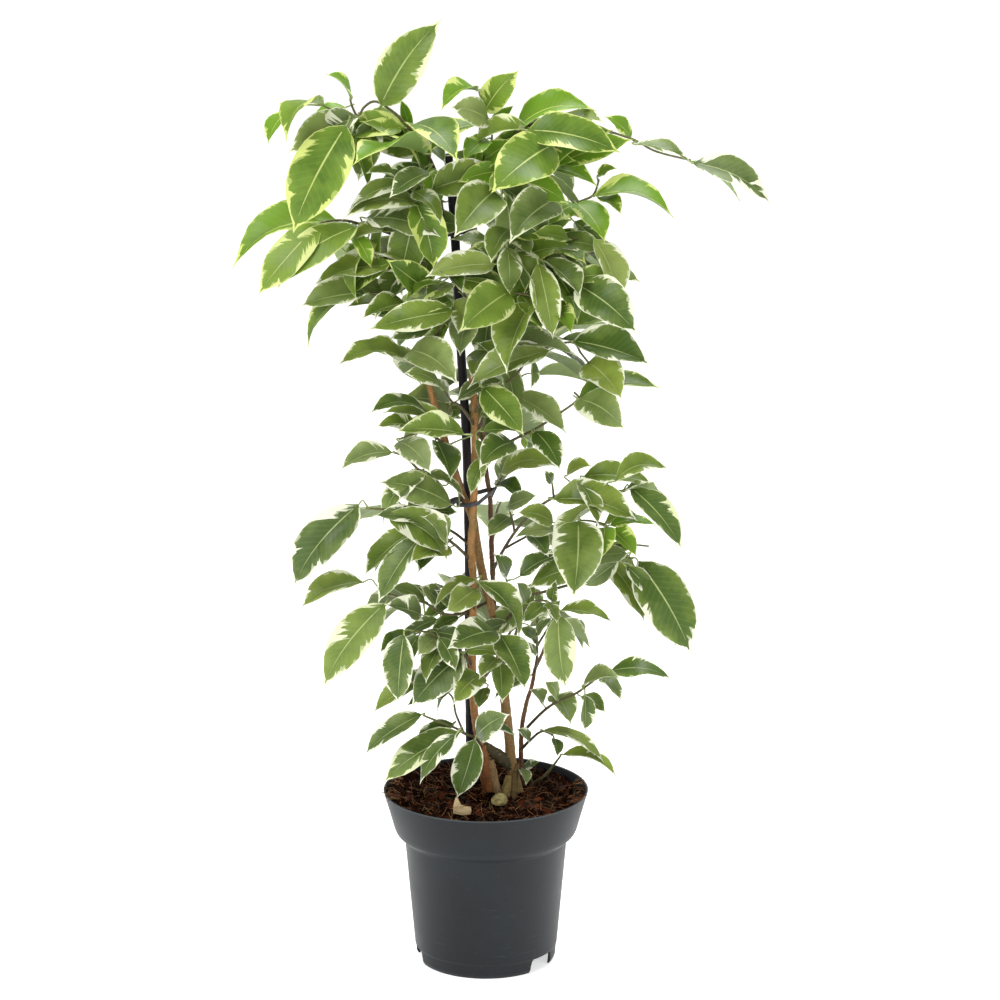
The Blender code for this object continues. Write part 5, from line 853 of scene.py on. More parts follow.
    # It springs up from the stalk and hangs over towards the tip
    steep = put(tree, "ShaderNodeSeparateXYZ", heading, out="Z")
    steep = put(tree, "ShaderNodeVectorMath", heading, Scale=steep, operation="SCALE")
    upward = put(tree, "ShaderNodeVectorMath", (0.0, 0.0, 1.0), steep, operation="SUBTRACT")
    hang = put(tree, "ShaderNodeMath", along, 3.0, operation="POWER")
    hang = put(tree, "ShaderNodeMath", along, hang, operation="SUBTRACT")
    for factor in (curve, length):
        hang = put(tree, "ShaderNodeMath", hang, factor, operation="MULTIPLY")
    spot = put(tree, "ShaderNodeVectorMath", chord, Scale=along, operation="SCALE")
    for direction, far in ((upward, hang), (root, 1.0), (beside, wide), (face, rise)):
        reach = put(tree, "ShaderNodeVectorMath", direction, Scale=far, operation="SCALE")
        spot = put(tree, "ShaderNodeVectorMath", spot, reach, operation="ADD")
    blades = put(tree, "GeometryNodeSetPosition", blades, None, spot)
    # Both faces of a blade split along the same diagonals, or they would cross
    blades = put(tree, "GeometryNodeTriangulate", blades, quad_method="SHORTEST_DIAGONAL")
    blades = put(tree, "GeometryNodeSetShadeSmooth", blades, None, True)
    sharp = put(tree, "ShaderNodeMath", put(tree, "GeometryNodeInputMeshEdgeAngle"), 1.2,
                operation="GREATER_THAN")
    blades = put(tree, "GeometryNodeSetShadeSmooth", blades, sharp, False, domain="EDGE")
    blades = put(tree, "GeometryNodeSetMaterial", blades, Material=given["Finish"])
    put(tree, "NodeGroupOutput", blades, out=None)
    return tree


# How each tone of leaf looks: how bright it is, how yellow its edge is, and how far its patches reach. The
# letters stand for bright, yellow-edged, middling, dark, grey-green, cream-patched, lime, vivid, washed out
# and blackish.
toneLooks = dict(b=(0.5, 0.6, 0.6), y=(0.8, 0.95, 0.6), m=(0.42, 0.30, 0.5), d=(0.04, 0.2, 0.35),
                 g=(0.4, 0.2, 0.35), c=(0.25, 0.1, 0.95), l=(1.0, 2.2, 0.5), v=(0.12, 0.7, 0.6),
                 w=(0.75, 0.1, 0.5), k=(0.04, 0.1, 0.7))


def leafPoints(name, leaves, draws):
    # A point at each leaf's base, with what the blade's tree and the leaf's finish read from it
    def drawn(*ranges):
        return [draws.uniform(*ends) for ends in ranges]

    corners, chord, face, size, wave, bend, mark = [], [], [], [], [], [], []
    lowRow, highRow = leafShape["lowRow"], leafShape["highRow"]
    for leaf in leaves:
        run = leaf["tip"] - leaf["base"]
        bright, yellow, patch = toneLooks[leaf["tone"]]
        high = max(0.0, min(1.0, (lowRow - leaf["row"]) / (lowRow - highRow)))
        corners.append(leaf["base"])
        chord.append(run)
        face.append(leaf["face"] - run.normalized() * leaf["face"].dot(run.normalized()))
        size.append((leaf["width"], leaf["droop"], *drawn(leafShape["sway"])))
        wave.append(drawn(*leafShape["wave"]))
        bend.append(drawn(*leafShape["bend"]))
        shade, reach, own = drawn(leafShape["shade"], leafShape["patch"], leafShape["own"])
        shade = max(0, min(1, bright * (0.8 + 0.25 * high) + shade))
        mark.append((shade, yellow * (0.45 + 0.75 * high), patch * reach, own))
    return meshOf(name, corners, chord=chord, face=face, size=size, wave=wave, bend=bend, mark=mark)


# Finishes
def newFinish(name):
    made = bpy.data.materials.new(name)
    made.use_nodes = True
    made.node_tree.nodes.clear()
    return made, made.node_tree


def shaded(tree, colour, roughness, height=None, distance=0.0, strength=1.0, **named):
    # The one shader that every finish ends in. Plain numbers stand on its own sockets.
    if height is not None:
        named["Normal"] = put(tree, "ShaderNodeBump", Strength=strength, Distance=distance, Height=height)
    shader = put(tree, "ShaderNodeBsdfPrincipled", Base_Color=colour, Roughness=roughness, **named)
    put(tree, "ShaderNodeOutputMaterial", shader, out=None)


# Variegated fig leaf: waxy and smooth above, so it takes a soft sheen, and dull and paler below
leafColours = dict(dark="#455d1f", bright="#8f9f42", lively="#68911f", slate="#54633c", grey="#94a076",
                   cream="#f0f1da", lime="#ccd87a", rib="#aebc7c", below="#929f74")


def makeLeafFinish():
    made, tree = newFinish("fig_leaf_waxy")
    dark, bright, lively, slate, grey, paleCream, lime, ribPale, below = map(linear, leafColours.values())
    place = put(tree, "ShaderNodeAttribute", attribute_name="place", out="Vector")
    mark = put(tree, "ShaderNodeAttribute", attribute_name="mark", out=None)
    along, across, side = put(tree, "ShaderNodeSeparateXYZ", place, out=None).outputs
    light, yellow, patch = put(tree, "ShaderNodeSeparateColor", mark.outputs["Color"], out=None).outputs
    seed = mark.outputs["Alpha"]
    away = put(tree, "ShaderNodeMath", across, operation="ABSOLUTE")
    half = put(tree, "ShaderNodeMath", across, operation="SIGN")
    # Every side vein runs outwards and a little towards the tip, and the cream follows the veins in from the
    # edge
    vein = put(tree, "ShaderNodeMath", away, -0.17, along, operation="MULTIPLY_ADD")
    own = put(tree, "ShaderNodeMath", half, 7.3, seed, operation="MULTIPLY_ADD")
    line = put(tree, "ShaderNodeMath", vein, own, operation="ADD")
    fine = put(tree, "ShaderNodeTexNoise", line, 46.0, 1.0, 0.5, noise_dimensions="1D")
    teeth = put(tree, "ShaderNodeTexNoise", line, 15.0, 2.0, 0.6, noise_dimensions="1D")
    broad = put(tree, "ShaderNodeTexNoise", line, 2.7, 0.0, 0.5, noise_dimensions="1D")
    bite = put(tree, "ShaderNodeMapRange", teeth, 0.50, 0.72, 0.0, 0.10)
    bite = put(tree, "ShaderNodeMath", fine, 0.035, bite, operation="MULTIPLY_ADD")
    wedge = put(tree, "ShaderNodeMapRange", broad, 0.525, 0.67, 0.0, 0.66)
    for factor in (patch, put(tree, "ShaderNodeMapRange", teeth, 0.34, 0.66, 0.4, 1.1)):
        wedge = put(tree, "ShaderNodeMath", wedge, factor, operation="MULTIPLY")
    rare = put(tree, "ShaderNodeMapRange", broad, 0.42, 0.58, 0.1, 1.2)
    depth = put(tree, "ShaderNodeMath", bite, rare, operation="MULTIPLY")
    # A thin pale line stays all round, and the drip tip is pale right across
    for part in (wedge, 0.032, put(tree, "ShaderNodeMapRange", along, 0.86, 0.97, 0.0, 0.95)):
        depth = put(tree, "ShaderNodeMath", depth, part, operation="ADD")
    inset = put(tree, "ShaderNodeMath", 1.0, away, operation="SUBTRACT")
    cream = put(tree, "ShaderNodeMath", depth, inset, operation="SUBTRACT")
    cream = put(tree, "ShaderNodeMapRange", cream, -0.008, 0.022)
    # Between green and cream lies a grey-green zone, wider where a wedge runs in
    zone = put(tree, "ShaderNodeMath", line, 3.7, operation="ADD")
    zone = put(tree, "ShaderNodeTexNoise", zone, 11.0, 1.0, 0.5, noise_dimensions="1D")
    zone = put(tree, "ShaderNodeMapRange", zone, 0.45, 0.68, 0.01, 0.42)
    wider = put(tree, "ShaderNodeMath", wedge, 0.35, operation="ADD")
    zone = put(tree, "ShaderNodeMath", zone, wider, depth, operation="MULTIPLY_ADD")
    zone = put(tree, "ShaderNodeMath", zone, inset, operation="SUBTRACT")
    zone = put(tree, "ShaderNodeMapRange", zone, -0.01, 0.03)
    # Clouds of lighter and darker green, in the part's own space
    where = put(tree, "ShaderNodeTexCoord", out="Object")
    cloud = put(tree, "ShaderNodeTexNoise", where, 70.0, 3.0, 0.6)
    cloud = put(tree, "ShaderNodeMapRange", cloud, 0.3, 0.7, -0.24, 0.24)
    tone = put(tree, "ShaderNodeMath", light, cloud, operation="ADD")
    # Darker along the midrib and paler towards the edge: painted shade in the fold of the blade
    paler = put(tree, "ShaderNodeMapRange", away, 0.0, 1.0, -0.12, 0.2)
    tone = put(tree, "ShaderNodeMath", paler, tone, operation="ADD", use_clamp=True)
    green = put(tree, "ShaderNodeMix", tone, dark, bright, data_type="RGBA")
    fresh = put(tree, "ShaderNodeMath", tone, 0.6, 0.3, operation="MULTIPLY_ADD")
    fresh = put(tree, "ShaderNodeMath", fresh, yellow, operation="MULTIPLY")
    green = put(tree, "ShaderNodeMix", fresh, green, lively, data_type="RGBA")
    # Many of the older leaves further down are mixed towards grey-green, a painted sheen of reflected light
    sheenShare = put(tree, "ShaderNodeTexWhiteNoise", seed, noise_dimensions="1D")
    sheenShare = put(tree, "ShaderNodeMapRange", sheenShare, 0.25, 1.0, 0.0, 0.75)
    older = put(tree, "ShaderNodeMapRange", yellow, 0.05, 0.7, 1.0, 0.0)
    sheenShare = put(tree, "ShaderNodeMath", sheenShare, older, operation="MULTIPLY")
    # This mix is the grey-green of the painted sheen, between slate and grey by the leaf's tone
    dust = put(tree, "ShaderNodeMix", tone, slate, grey, data_type="RGBA")
    green = put(tree, "ShaderNodeMix", sheenShare, green, dust, data_type="RGBA")
    # The side veins are a little paler than the blade, and stand a little proud
    ribs = put(tree, "ShaderNodeMath", vein, 95.0, operation="MULTIPLY")
    ribs = put(tree, "ShaderNodeMath", ribs, operation="SINE")
    ribs = put(tree, "ShaderNodeMapRange", ribs, 0.55, 1.0)
    faint = put(tree, "ShaderNodeMath", ribs, 0.06, operation="MULTIPLY")
    pale = put(tree, "ShaderNodeMix", faint, green, ribPale, data_type="RGBA")
    young = put(tree, "ShaderNodeMapRange", yellow, 0.1, 0.7, 0.1, 1.0)
    margin = put(tree, "ShaderNodeMix", young, paleCream, lime, data_type="RGBA")
    between = put(tree, "ShaderNodeMix", 0.42, pale, margin, data_type="RGBA")
    colour = put(tree, "ShaderNodeMix", zone, pale, between, data_type="RGBA")
    colour = put(tree, "ShaderNodeMix", cream, colour, margin, data_type="RGBA")
    # The midrib is a fine pale line, 0.5 mm at the stalk and less at the tip
    reach = put(tree, "ShaderNodeMapRange", along, 0.0, 0.9, 0.045, 0.015)
    rib = put(tree, "ShaderNodeMath", reach, away, operation="SUBTRACT")
    rib = put(tree, "ShaderNodeMapRange", rib, -0.012, 0.018)
    ribTone = put(tree, "ShaderNodeMix", yellow, ribPale, lime, data_type="RGBA")
    ribbed = put(tree, "ShaderNodeMath", rib, 0.85, operation="MULTIPLY")
    colour = put(tree, "ShaderNodeMix", ribbed, colour, ribTone, data_type="RGBA")
    under = put(tree, "ShaderNodeMapRange", side, -0.06, 0.02, 1.0, 0.0)
    dull = put(tree, "ShaderNodeMath", under, 0.42, operation="MULTIPLY")
    colour = put(tree, "ShaderNodeMix", dull, colour, below, data_type="RGBA")
    rough = put(tree, "ShaderNodeMapRange", cloud, -0.24, 0.24, 0.3, 0.44)
    rough = put(tree, "ShaderNodeMath", under, 0.2, rough, operation="MULTIPLY_ADD")
    height = put(tree, "ShaderNodeMath", ribs, 0.25, operation="MULTIPLY")
    height = put(tree, "ShaderNodeMath", rib, -1.2, height, operation="MULTIPLY_ADD")
    grain = put(tree, "ShaderNodeTexNoise", where, 900.0, 2.0, 0.6)
    height = put(tree, "ShaderNodeMath", grain, 0.35, height, operation="MULTIPLY_ADD")
    shaded(tree, colour, rough, height, 0.12 * mm, 0.5, IOR=1.45, Specular_IOR_Level=0.3,
           Subsurface_Weight=0.06, Subsurface_Radius=(0.001, 0.0016, 0.0005), Subsurface_Scale=1.0)
    return made


# Bark of stems and twigs: thin, finely wrinkled skin with small pale corky spots. The tint comes with the
# tube.
def makeBarkFinish(name, grain, spots, rough, shade):
    made, tree = newFinish(name)
    tint = put(tree, "ShaderNodeAttribute", attribute_name="tint", out="Color")
    where = put(tree, "ShaderNodeTexCoord", out="Object")
    long = put(tree, "ShaderNodeMapping", where, Scale=(1.0, 1.0, 0.28))
    streak = put(tree, "ShaderNodeTexNoise", long, grain, 5.0, 0.65)
    blotch = put(tree, "ShaderNodeTexNoise", where, grain * 0.14, 3.0, 0.6)
    wide = put(tree, "ShaderNodeMapping", where, Scale=(1.0, 1.0, 2.2))
    cork = put(tree, "ShaderNodeTexVoronoi", wide, spots)
    cork = put(tree, "ShaderNodeMapRange", cork, 0.16, 0.30, 1.0, 0.0)
    # The hollows of the wrinkles are darker with painted shade, old blotches are mossy, and the corky spots
    # are pale
    colour = tint
    for share, layer in ((put(tree, "ShaderNodeMapRange", streak, 0.32, 0.68, shade, 0.0), "#2b1c12"),
                         (put(tree, "ShaderNodeMapRange", blotch, 0.5, 0.72, 0.0, 0.45), "#6f6a3c"),
                         (put(tree, "ShaderNodeMath", cork, 0.38, operation="MULTIPLY"), "#c9ac80")):
        colour = put(tree, "ShaderNodeMix", share, colour, linear(layer), data_type="RGBA")
    height = put(tree, "ShaderNodeMath", cork, 0.5, streak, operation="MULTIPLY_ADD")
    dull = put(tree, "ShaderNodeMapRange", streak, 0.3, 0.7, rough, rough - 0.16)
    shaded(tree, colour, dull, height, 0.5 * mm, 0.7, IOR=1.45)
    return made


# Moulded polypropylene: a fine satin skin from the mould, with faint dust, a painted highlight along the lip
# and light scuffs
potLook = dict(base="#12161a", light="#1b2025", dust="#4a463f", scuffAndHighlight="#5d6469", lip=(0.1041, 0.1049))


def makePotFinish():
    made, tree = newFinish("polypropylene_moulded")
    where = put(tree, "ShaderNodeTexCoord", out="Object")
    cloud = put(tree, "ShaderNodeTexNoise", where, 26.0, 4.0, 0.6)
    colour = put(tree, "ShaderNodeMapRange", cloud, 0.35, 0.7)
    colour = put(tree, "ShaderNodeMix", colour, linear(potLook["base"]), linear(potLook["light"]),
                 data_type="RGBA")
    ringed = put(tree, "ShaderNodeMapping", where, Scale=(0.25, 0.25, 3.0))
    scratch = put(tree, "ShaderNodeTexNoise", ringed, 160.0, 3.0, 0.7)
    scratch = put(tree, "ShaderNodeMapRange", scratch, 0.64, 0.74)
    rare = put(tree, "ShaderNodeTexNoise", where, 30.0, 2.0, 0.5)
    for factor in (put(tree, "ShaderNodeMapRange", rare, 0.55, 0.7), 0.35):
        scratch = put(tree, "ShaderNodeMath", scratch, factor, operation="MULTIPLY")
    speck = put(tree, "ShaderNodeTexNoise", where, 950.0, 2.0, 0.5)
    speck = put(tree, "ShaderNodeMapRange", speck, 0.66, 0.76, 0.0, 0.30)
    # The top of the lip is paler: a painted highlight, in the same pale grey as the scuffs
    lip = put(tree, "ShaderNodeSeparateXYZ", where, out="Z")
    lip = put(tree, "ShaderNodeMapRange", lip, *potLook["lip"], 0.0, 0.55)
    for share, layer in ((scratch, "scuffAndHighlight"), (speck, "dust"), (lip, "scuffAndHighlight")):
        colour = put(tree, "ShaderNodeMix", share, colour, linear(potLook[layer]), data_type="RGBA")
    fine = put(tree, "ShaderNodeTexNoise", where, 1400.0, 2.0, 0.6)
    rough = put(tree, "ShaderNodeMapRange", cloud, 0.3, 0.7, 0.40, 0.52)
    shaded(tree, colour, rough, fine, 0.05 * mm, 0.35, IOR=1.49, Specular_IOR_Level=0.3)
    return made


# Peat with coir: crumbly and matt, near black where it is damp and red-brown where fibre shows
def makeSoilFinish(name, dark, warm, attribute=None):
    made, tree = newFinish(name)
    where = put(tree, "ShaderNodeTexCoord", out="Object")
    clump = put(tree, "ShaderNodeTexNoise", where, 190.0, 5.0, 0.7)
    share = put(tree, "ShaderNodeMapRange", clump, 0.42, 0.68)
    if attribute:
        # Whole patches of crumbs are darker, painted shade standing for hollows, and most crumbs are darker
        # than the few dry ones
        patch = put(tree, "ShaderNodeTexNoise", where, 62.0, 2.0, 0.5)
        patch = put(tree, "ShaderNodeMapRange", patch, 0.42, 0.6, 0.12, 1.25)
        own = put(tree, "ShaderNodeAttribute", attribute_name=attribute, out="Fac")
        own = put(tree, "ShaderNodeMath", own, 1.5, operation="POWER")
        own = put(tree, "ShaderNodeMath", own, patch, operation="MULTIPLY")
        share = put(tree, "ShaderNodeMath", share, 0.22, operation="MULTIPLY")
        share = put(tree, "ShaderNodeMath", own, share, operation="ADD", use_clamp=True)
    colour = put(tree, "ShaderNodeMix", share, linear(dark), linear(warm), data_type="RGBA")
    grit = put(tree, "ShaderNodeTexNoise", where, 1100.0, 3.0, 0.7)
    height = put(tree, "ShaderNodeMath", clump, grit, operation="ADD")
    shaded(tree, colour, 0.92, height, 0.6 * mm, 0.8, IOR=1.4, Specular_IOR_Level=0.05)
    return made


# Anything else of one stuff with grain: name, two colours, the grain's scale and stretch, roughness and bump
# in mm
def makeGrainFinish(name, dark, light, grain, stretch, rough, bump, **named):
    made, tree = newFinish(name)
    where = put(tree, "ShaderNodeTexCoord", out="Object")
    drawn = put(tree, "ShaderNodeMapping", where, Scale=stretch)
    grains = put(tree, "ShaderNodeTexNoise", drawn, grain, 4.0, 0.6)
    share = put(tree, "ShaderNodeMapRange", grains, 0.35, 0.65)
    colour = put(tree, "ShaderNodeMix", share, linear(dark), linear(light), data_type="RGBA")
    dull = put(tree, "ShaderNodeMapRange", grains, 0.3, 0.7, rough + 0.06, rough - 0.06)
    shaded(tree, colour, dull, grains, bump * mm, 0.6, **named)
    return made


# The pot in mm, turned from half its section. Each corner has its radius, its height and how far it is
# rounded. A notch is drawn as shares of its width and heights, its walls lean in, and its place and width
# are in degrees.
potSize = dict(sides=144, collarFoot=79, rim=105, collarRadius=53.7, collarSpread=6.3, pinchAcross=0.013,
               pinchBack=-0.020, notches=(-78.5, 53.5, 167.5), notchWidth=27, notchDepth=(36, 47),
               notch=[(-0.56, -3), (-0.5, 4.5), (-0.46, 7.4), (-0.40, 8.45), (0.40, 8.45), (0.46, 7.4),
                      (0.5, 4.5), (0.56, -3)], drain=2.6, drainSpan=(5, 13), drainRing=34, wall=1.2)
potProfile = [
    (0, 0, 0), (26.5, 0, 1.2), (28.0, 8.4, 1.0), (40.7, 8.4, 0.5), (39.3, 0, 0.3), (40.4, 0, 0.4),
    (41.5, 2.2, 0.5), (41.9, 8.4, 0.4), (42.4, 9.4, 0.5), (48.25, 75.2, 0.8), (53.3, 79.6, 1.0),
    (54.3, 82.2, 1.2), (60.0, 105.0, 0.55), (58.8, 105.0, 0.55), (53.1, 82.2, 1.5), (47.05, 76.8, 1.5),
    (41.2, 9.6, 1.0), (26.8, 9.6, 0.8), (25.3, 1.2, 0.8), (0, 1.2, 0)]


def pinched(point):
    # The collar is pressed slightly oval, wider across than from front to back
    share = (point.z / mm - potSize["collarFoot"]) / (potSize["rim"] - potSize["collarFoot"])
    share = max(0.0, min(1.0, share))
    across, back = 1 + potSize["pinchAcross"] * share, 1 + potSize["pinchBack"] * share
    return Vector((point.x * across, point.y * back, point.z))


def roundedProfile(profile, steps=4):
    # Each corner becomes a short curve that starts and ends its own radius away
    found = []
    for index, (radius, height, soft) in enumerate(profile):
        here = Vector((radius, height))
        if soft == 0:
            found.append(here)
            continue
        before = Vector(profile[index - 1][:2])
        after = Vector(profile[index + 1][:2])
        start = here + (before - here).normalized() * min(soft, (before - here).length * 0.45)
        end = here + (after - here).normalized() * min(soft, (after - here).length * 0.45)
        for step in range(steps + 1):
            share = step / steps
            found.append(start.lerp(here, share).lerp(here.lerp(end, share), share))
    return found


def turned(profile, sides, shift=Vector((0, 0, 0)), squeeze=None):
    # A closed solid from radius and height in mm, from the axis back to the axis
    corners = [Vector((0, 0, profile[0].y * mm))]
    for point in profile[1:-1]:
        for number in range(sides):
            angle = 2 * math.pi * number / sides
            corners.append(Vector((point.x * math.cos(angle), point.x * math.sin(angle), point.y)) * mm)
    corners.append(Vector((0, 0, profile[-1].y * mm)))
    faces = []
    for number in range(sides):
        after = (number + 1) % sides
        faces.append((0, 1 + after, 1 + number))
        for ring in range(len(profile) - 3):
            a = 1 + ring * sides
            faces.append((a + number, a + after, a + sides + after, a + sides + number))
        a = 1 + (len(profile) - 3) * sides
        faces.append((a + number, a + after, len(corners) - 1))
    return [(squeeze(corner) if squeeze else corner) + shift for corner in corners], faces


def cut(made, cutters):
    # Takes each cutter out of the mesh
    for cutter in cutters:
        modifier = made.modifiers.new("cut", "BOOLEAN")
        modifier.operation = "DIFFERENCE"
        modifier.solver = "EXACT"
        modifier.object = cutter
        settled(made)
    for cutter in cutters:
        mesh = cutter.data
        bpy.data.objects.remove(cutter)
        bpy.data.meshes.remove(mesh)


def buildPot(finish):
    corners, faces = turned(roundedProfile(potProfile), potSize["sides"], squeeze=pinched)
    mesh = meshOf("pot_body", corners, faces=faces)
    outward(mesh)
    made = objectOf("pot_body", mesh)
    cutters = []
    for angle in potSize["notches"]:
        middle = math.radians(angle)
        corners = []
        for radius in potSize["notchDepth"]:
            for share, height in potSize["notch"]:
                turn = middle + share * math.radians(potSize["notchWidth"])
                corners.append(Vector((radius * math.sin(turn), -radius * math.cos(turn), height)) * mm)
        count = len(potSize["notch"])
        faces = [tuple(range(count)), tuple(range(2 * count - 1, count - 1, -1))]
        faces += [(n, (n + 1) % count, count + (n + 1) % count, count + n) for n in range(count)]
        block = meshOf("notch", corners, faces=faces)
        outward(block)
        cutters.append(objectOf("notch", block))
        ring, drainRadius, (low, high) = potSize["drainRing"], potSize["drain"], potSize["drainSpan"]
        hole = [Vector(pair) for pair in ((0, low), (drainRadius, low), (drainRadius, high), (0, high))]
        place = Vector((ring * math.sin(middle), -ring * math.cos(middle), 0)) * mm
        corners, faces = turned(hole, 24, place)
        drain = meshOf("drain", corners, faces=faces)
        outward(drain)
        cutters.append(objectOf("drain", drain))
    cut(made, cutters)
    made.data.materials.clear()
    made.data.materials.append(finish)
    smoothed(made.data, 38)
    finished(made, "pot_plastic", "pot")


# The soil in mm: its level and how far it rises round the stems, at both sides and at the back, its lumps,
# and the radii and heights of its flanks inside the pot
soilSize = dict(level=97.5, dome=2.4, domeWide=26, sidesUp=4.6, slope=0.8, backUp=5.2, backFrom=14,
                backWide=44, wave=0.7, ripple=0.4, rings=46, sides=150, gap=0.3, rough=2.7, grain=120,
                fine=0.8, fineGrain=420, lip=0.6,
                flanks=((52.8, 82.2), (46.7, 76.8), (40.9, 9.9), (26.5, 9.9), (25.0, 1.5)))
potReach = 0.06


def soilHeight(x, y):
    domed = math.exp(-(math.hypot(x, y) / (soilSize["domeWide"] * mm)) ** 2)
    behind = max(0.0, (y - soilSize["backFrom"] * mm) / (soilSize["backWide"] * mm)) ** 1.4
    height = soilSize["level"] + soilSize["dome"] * domed + soilSize["backUp"] * behind
    height += soilSize["sidesUp"] * (x / potReach) ** 2 - soilSize["slope"] * (x + y) / potReach
    height += soilSize["wave"] * math.sin(x * 190 + 1.3) * math.cos(y * 230 + 0.4)
    return (height + soilSize["ripple"] * math.sin(x * 410 + y * 330)) * mm


def roughSoil(x, y):
    # The same height with lumps of two sizes
    spot = Vector((x, y, 0.31))
    lumps = noise.fractal(spot * soilSize["grain"], 0.8, 2.1, 4) * soilSize["rough"] * mm
    return soilHeight(x, y) + lumps + noise.noise(spot * soilSize["fineGrain"]) * soilSize["fine"] * mm


def innerRadius(height):
    # How far the soil may reach inside the collar
    share = (height / mm - potSize["collarFoot"]) / (potSize["rim"] - potSize["collarFoot"])
    radius = potSize["collarRadius"] + potSize["collarSpread"] * share
    return (radius - potSize["wall"] - soilSize["gap"]) * mm


def soilSurface():
    rings, sides = soilSize["rings"], soilSize["sides"]
    corners = [Vector((0, 0, roughSoil(0, 0)))]
    for ring in range(1, rings + 1):
        share = ring / rings
        for number in range(sides):
            angle = 2 * math.pi * (number + 0.5 * (ring % 2)) / sides
            reach = innerRadius(soilSize["level"] * mm) * share
            x, y = reach * math.cos(angle), reach * math.sin(angle)
            height = min(roughSoil(x, y), (potSize["rim"] - soilSize["lip"]) * mm)
            if ring == rings:
                reach = innerRadius(height)
                x, y = reach * math.cos(angle), reach * math.sin(angle)
            corners.append(pinched(Vector((x, y, height))))
    faces = []
    for number in range(sides):
        after = (number + 1) % sides
        faces.append((0, 1 + number, 1 + after))
        for ring in range(1, rings):
            a = 1 + (ring - 1) * sides
            faces.append((a + number, a + sides + number, a + sides + after, a + after))
    return corners, faces


def makeCrumbTree():
    # Crumbs on the upward faces: each one an irregular lump, turned and sized at random
    tree, given = newTree("crumbs", Density=90000.0, Small=0.4 * mm, Large=1.2 * mm, Detail=1, Seed=3,
                          Lump=0.3 * mm, Edge=0.055, Finish=None)
    x, y, z = put(tree, "ShaderNodeSeparateXYZ", put(tree, "GeometryNodeInputPosition"), out=None).outputs
    flat = put(tree, "ShaderNodeVectorMath", put(tree, "ShaderNodeCombineXYZ", x, y, 0.0),
               operation="LENGTH")
    keep = put(tree, "ShaderNodeMath", flat, given["Edge"], operation="LESS_THAN")
    points = put(tree, "GeometryNodeDistributePointsOnFaces", given["Geometry"], keep,
                 Density=given["Density"], Seed=given["Seed"])
    own = put(tree, "FunctionNodeRandomValue", 0.0, 1.0, None, 11, data_type="FLOAT")
    points = put(tree, "GeometryNodeStoreNamedAttribute", points, None, "own", own, data_type="FLOAT")
    lump = put(tree, "GeometryNodeMeshIcoSphere", 1.0, given["Detail"])
    draw = put(tree, "FunctionNodeRandomValue", 0.0, 1.0, None, 12, data_type="FLOAT")
    draw = put(tree, "ShaderNodeMath", draw, 2.2, operation="POWER")
    size = put(tree, "ShaderNodeMapRange", draw, 0.0, 1.0, given["Small"], given["Large"])
    shape = put(tree, "FunctionNodeRandomValue", (0.5, 0.5, 0.35), (1.5, 1.0, 0.8), None, 13,
                data_type="FLOAT_VECTOR")
    scale = put(tree, "ShaderNodeVectorMath", shape, Scale=size, operation="SCALE")
    angle = put(tree, "FunctionNodeRandomValue", (0.0, 0.0, 0.0), (6.28, 6.28, 6.28), None, 14,
                data_type="FLOAT_VECTOR")
    lumps = put(tree, "GeometryNodeInstanceOnPoints", points, None, lump, Rotation=angle, Scale=scale)
    lumps = put(tree, "GeometryNodeRealizeInstances", lumps)
    push = put(tree, "ShaderNodeTexNoise", None, 900.0, 1.0, 0.5, out="Color")
    push = put(tree, "ShaderNodeVectorMath", push, (0.5, 0.5, 0.5), operation="SUBTRACT")
    push = put(tree, "ShaderNodeVectorMath", push, Scale=given["Lump"], operation="SCALE")
    lumps = put(tree, "GeometryNodeSetPosition", lumps, Offset=push)
    lumps = put(tree, "GeometryNodeSetMaterial", lumps, Material=given["Finish"])
    put(tree, "NodeGroupOutput", lumps, out=None)
    return tree


def buildSoil(soilFinish, crumbFinish):
    corners, faces = soilSurface()
    surface = (list(corners), list(faces))
    sides = soilSize["sides"]
    last = len(corners) - sides
    for radius, height in soilSize["flanks"]:
        for number in range(sides):
            angle = 2 * math.pi * number / sides
            corners.append(Vector((radius * math.cos(angle), radius * math.sin(angle), height)) * mm)
            after = (number + 1) % sides
            faces.append((last + after, last + number, last + sides + number, last + sides + after))
        last += sides
    corners.append(Vector((0, 0, height * mm)))
    faces += [(last + (number + 1) % sides, last + number, len(corners) - 1) for number in range(sides)]
    mesh = meshOf("soil_bed", corners, faces=faces)
    mesh.materials.append(soilFinish)
    outward(mesh)
    smoothed(mesh, 60)
    finished(objectOf("soil_bed", mesh), "potting_soil", "soil")
    tree = makeCrumbTree()
    for name, density, small, large, detail, seed, edge in (
            ("soil_crumbs", 260000.0, 0.35, 1.0, 1, 3, 0.0562),
            ("soil_lumps", 22000.0, 0.9, 3.2, 2, 8, 0.054)):
        crumbs = grown(name, meshOf(name, surface[0], faces=surface[1]), tree, Density=density,
                       Small=small * mm, Large=large * mm, Detail=detail, Seed=seed, Edge=edge,
                       Lump=large * 0.5 * mm, Finish=crumbFinish)
        finished(crumbs, "potting_soil", "soil")


# Coir strands in mm. Every tenth one leans out over the rim, and none goes past farthest or stands higher
# than highest above what it lies on.
fibreSize = dict(seed=5, count=900, length=(2.5, 11), radius=(0.13, 0.32), spread=53, steps=6, curl=0.55,
                 highest=5, soilEdge=57, lip=103.5, farthest=64.5, overEvery=10, overAt=(-0.15, math.pi),
                 overReach=(52, 57), overHeight=(103.5, 106))


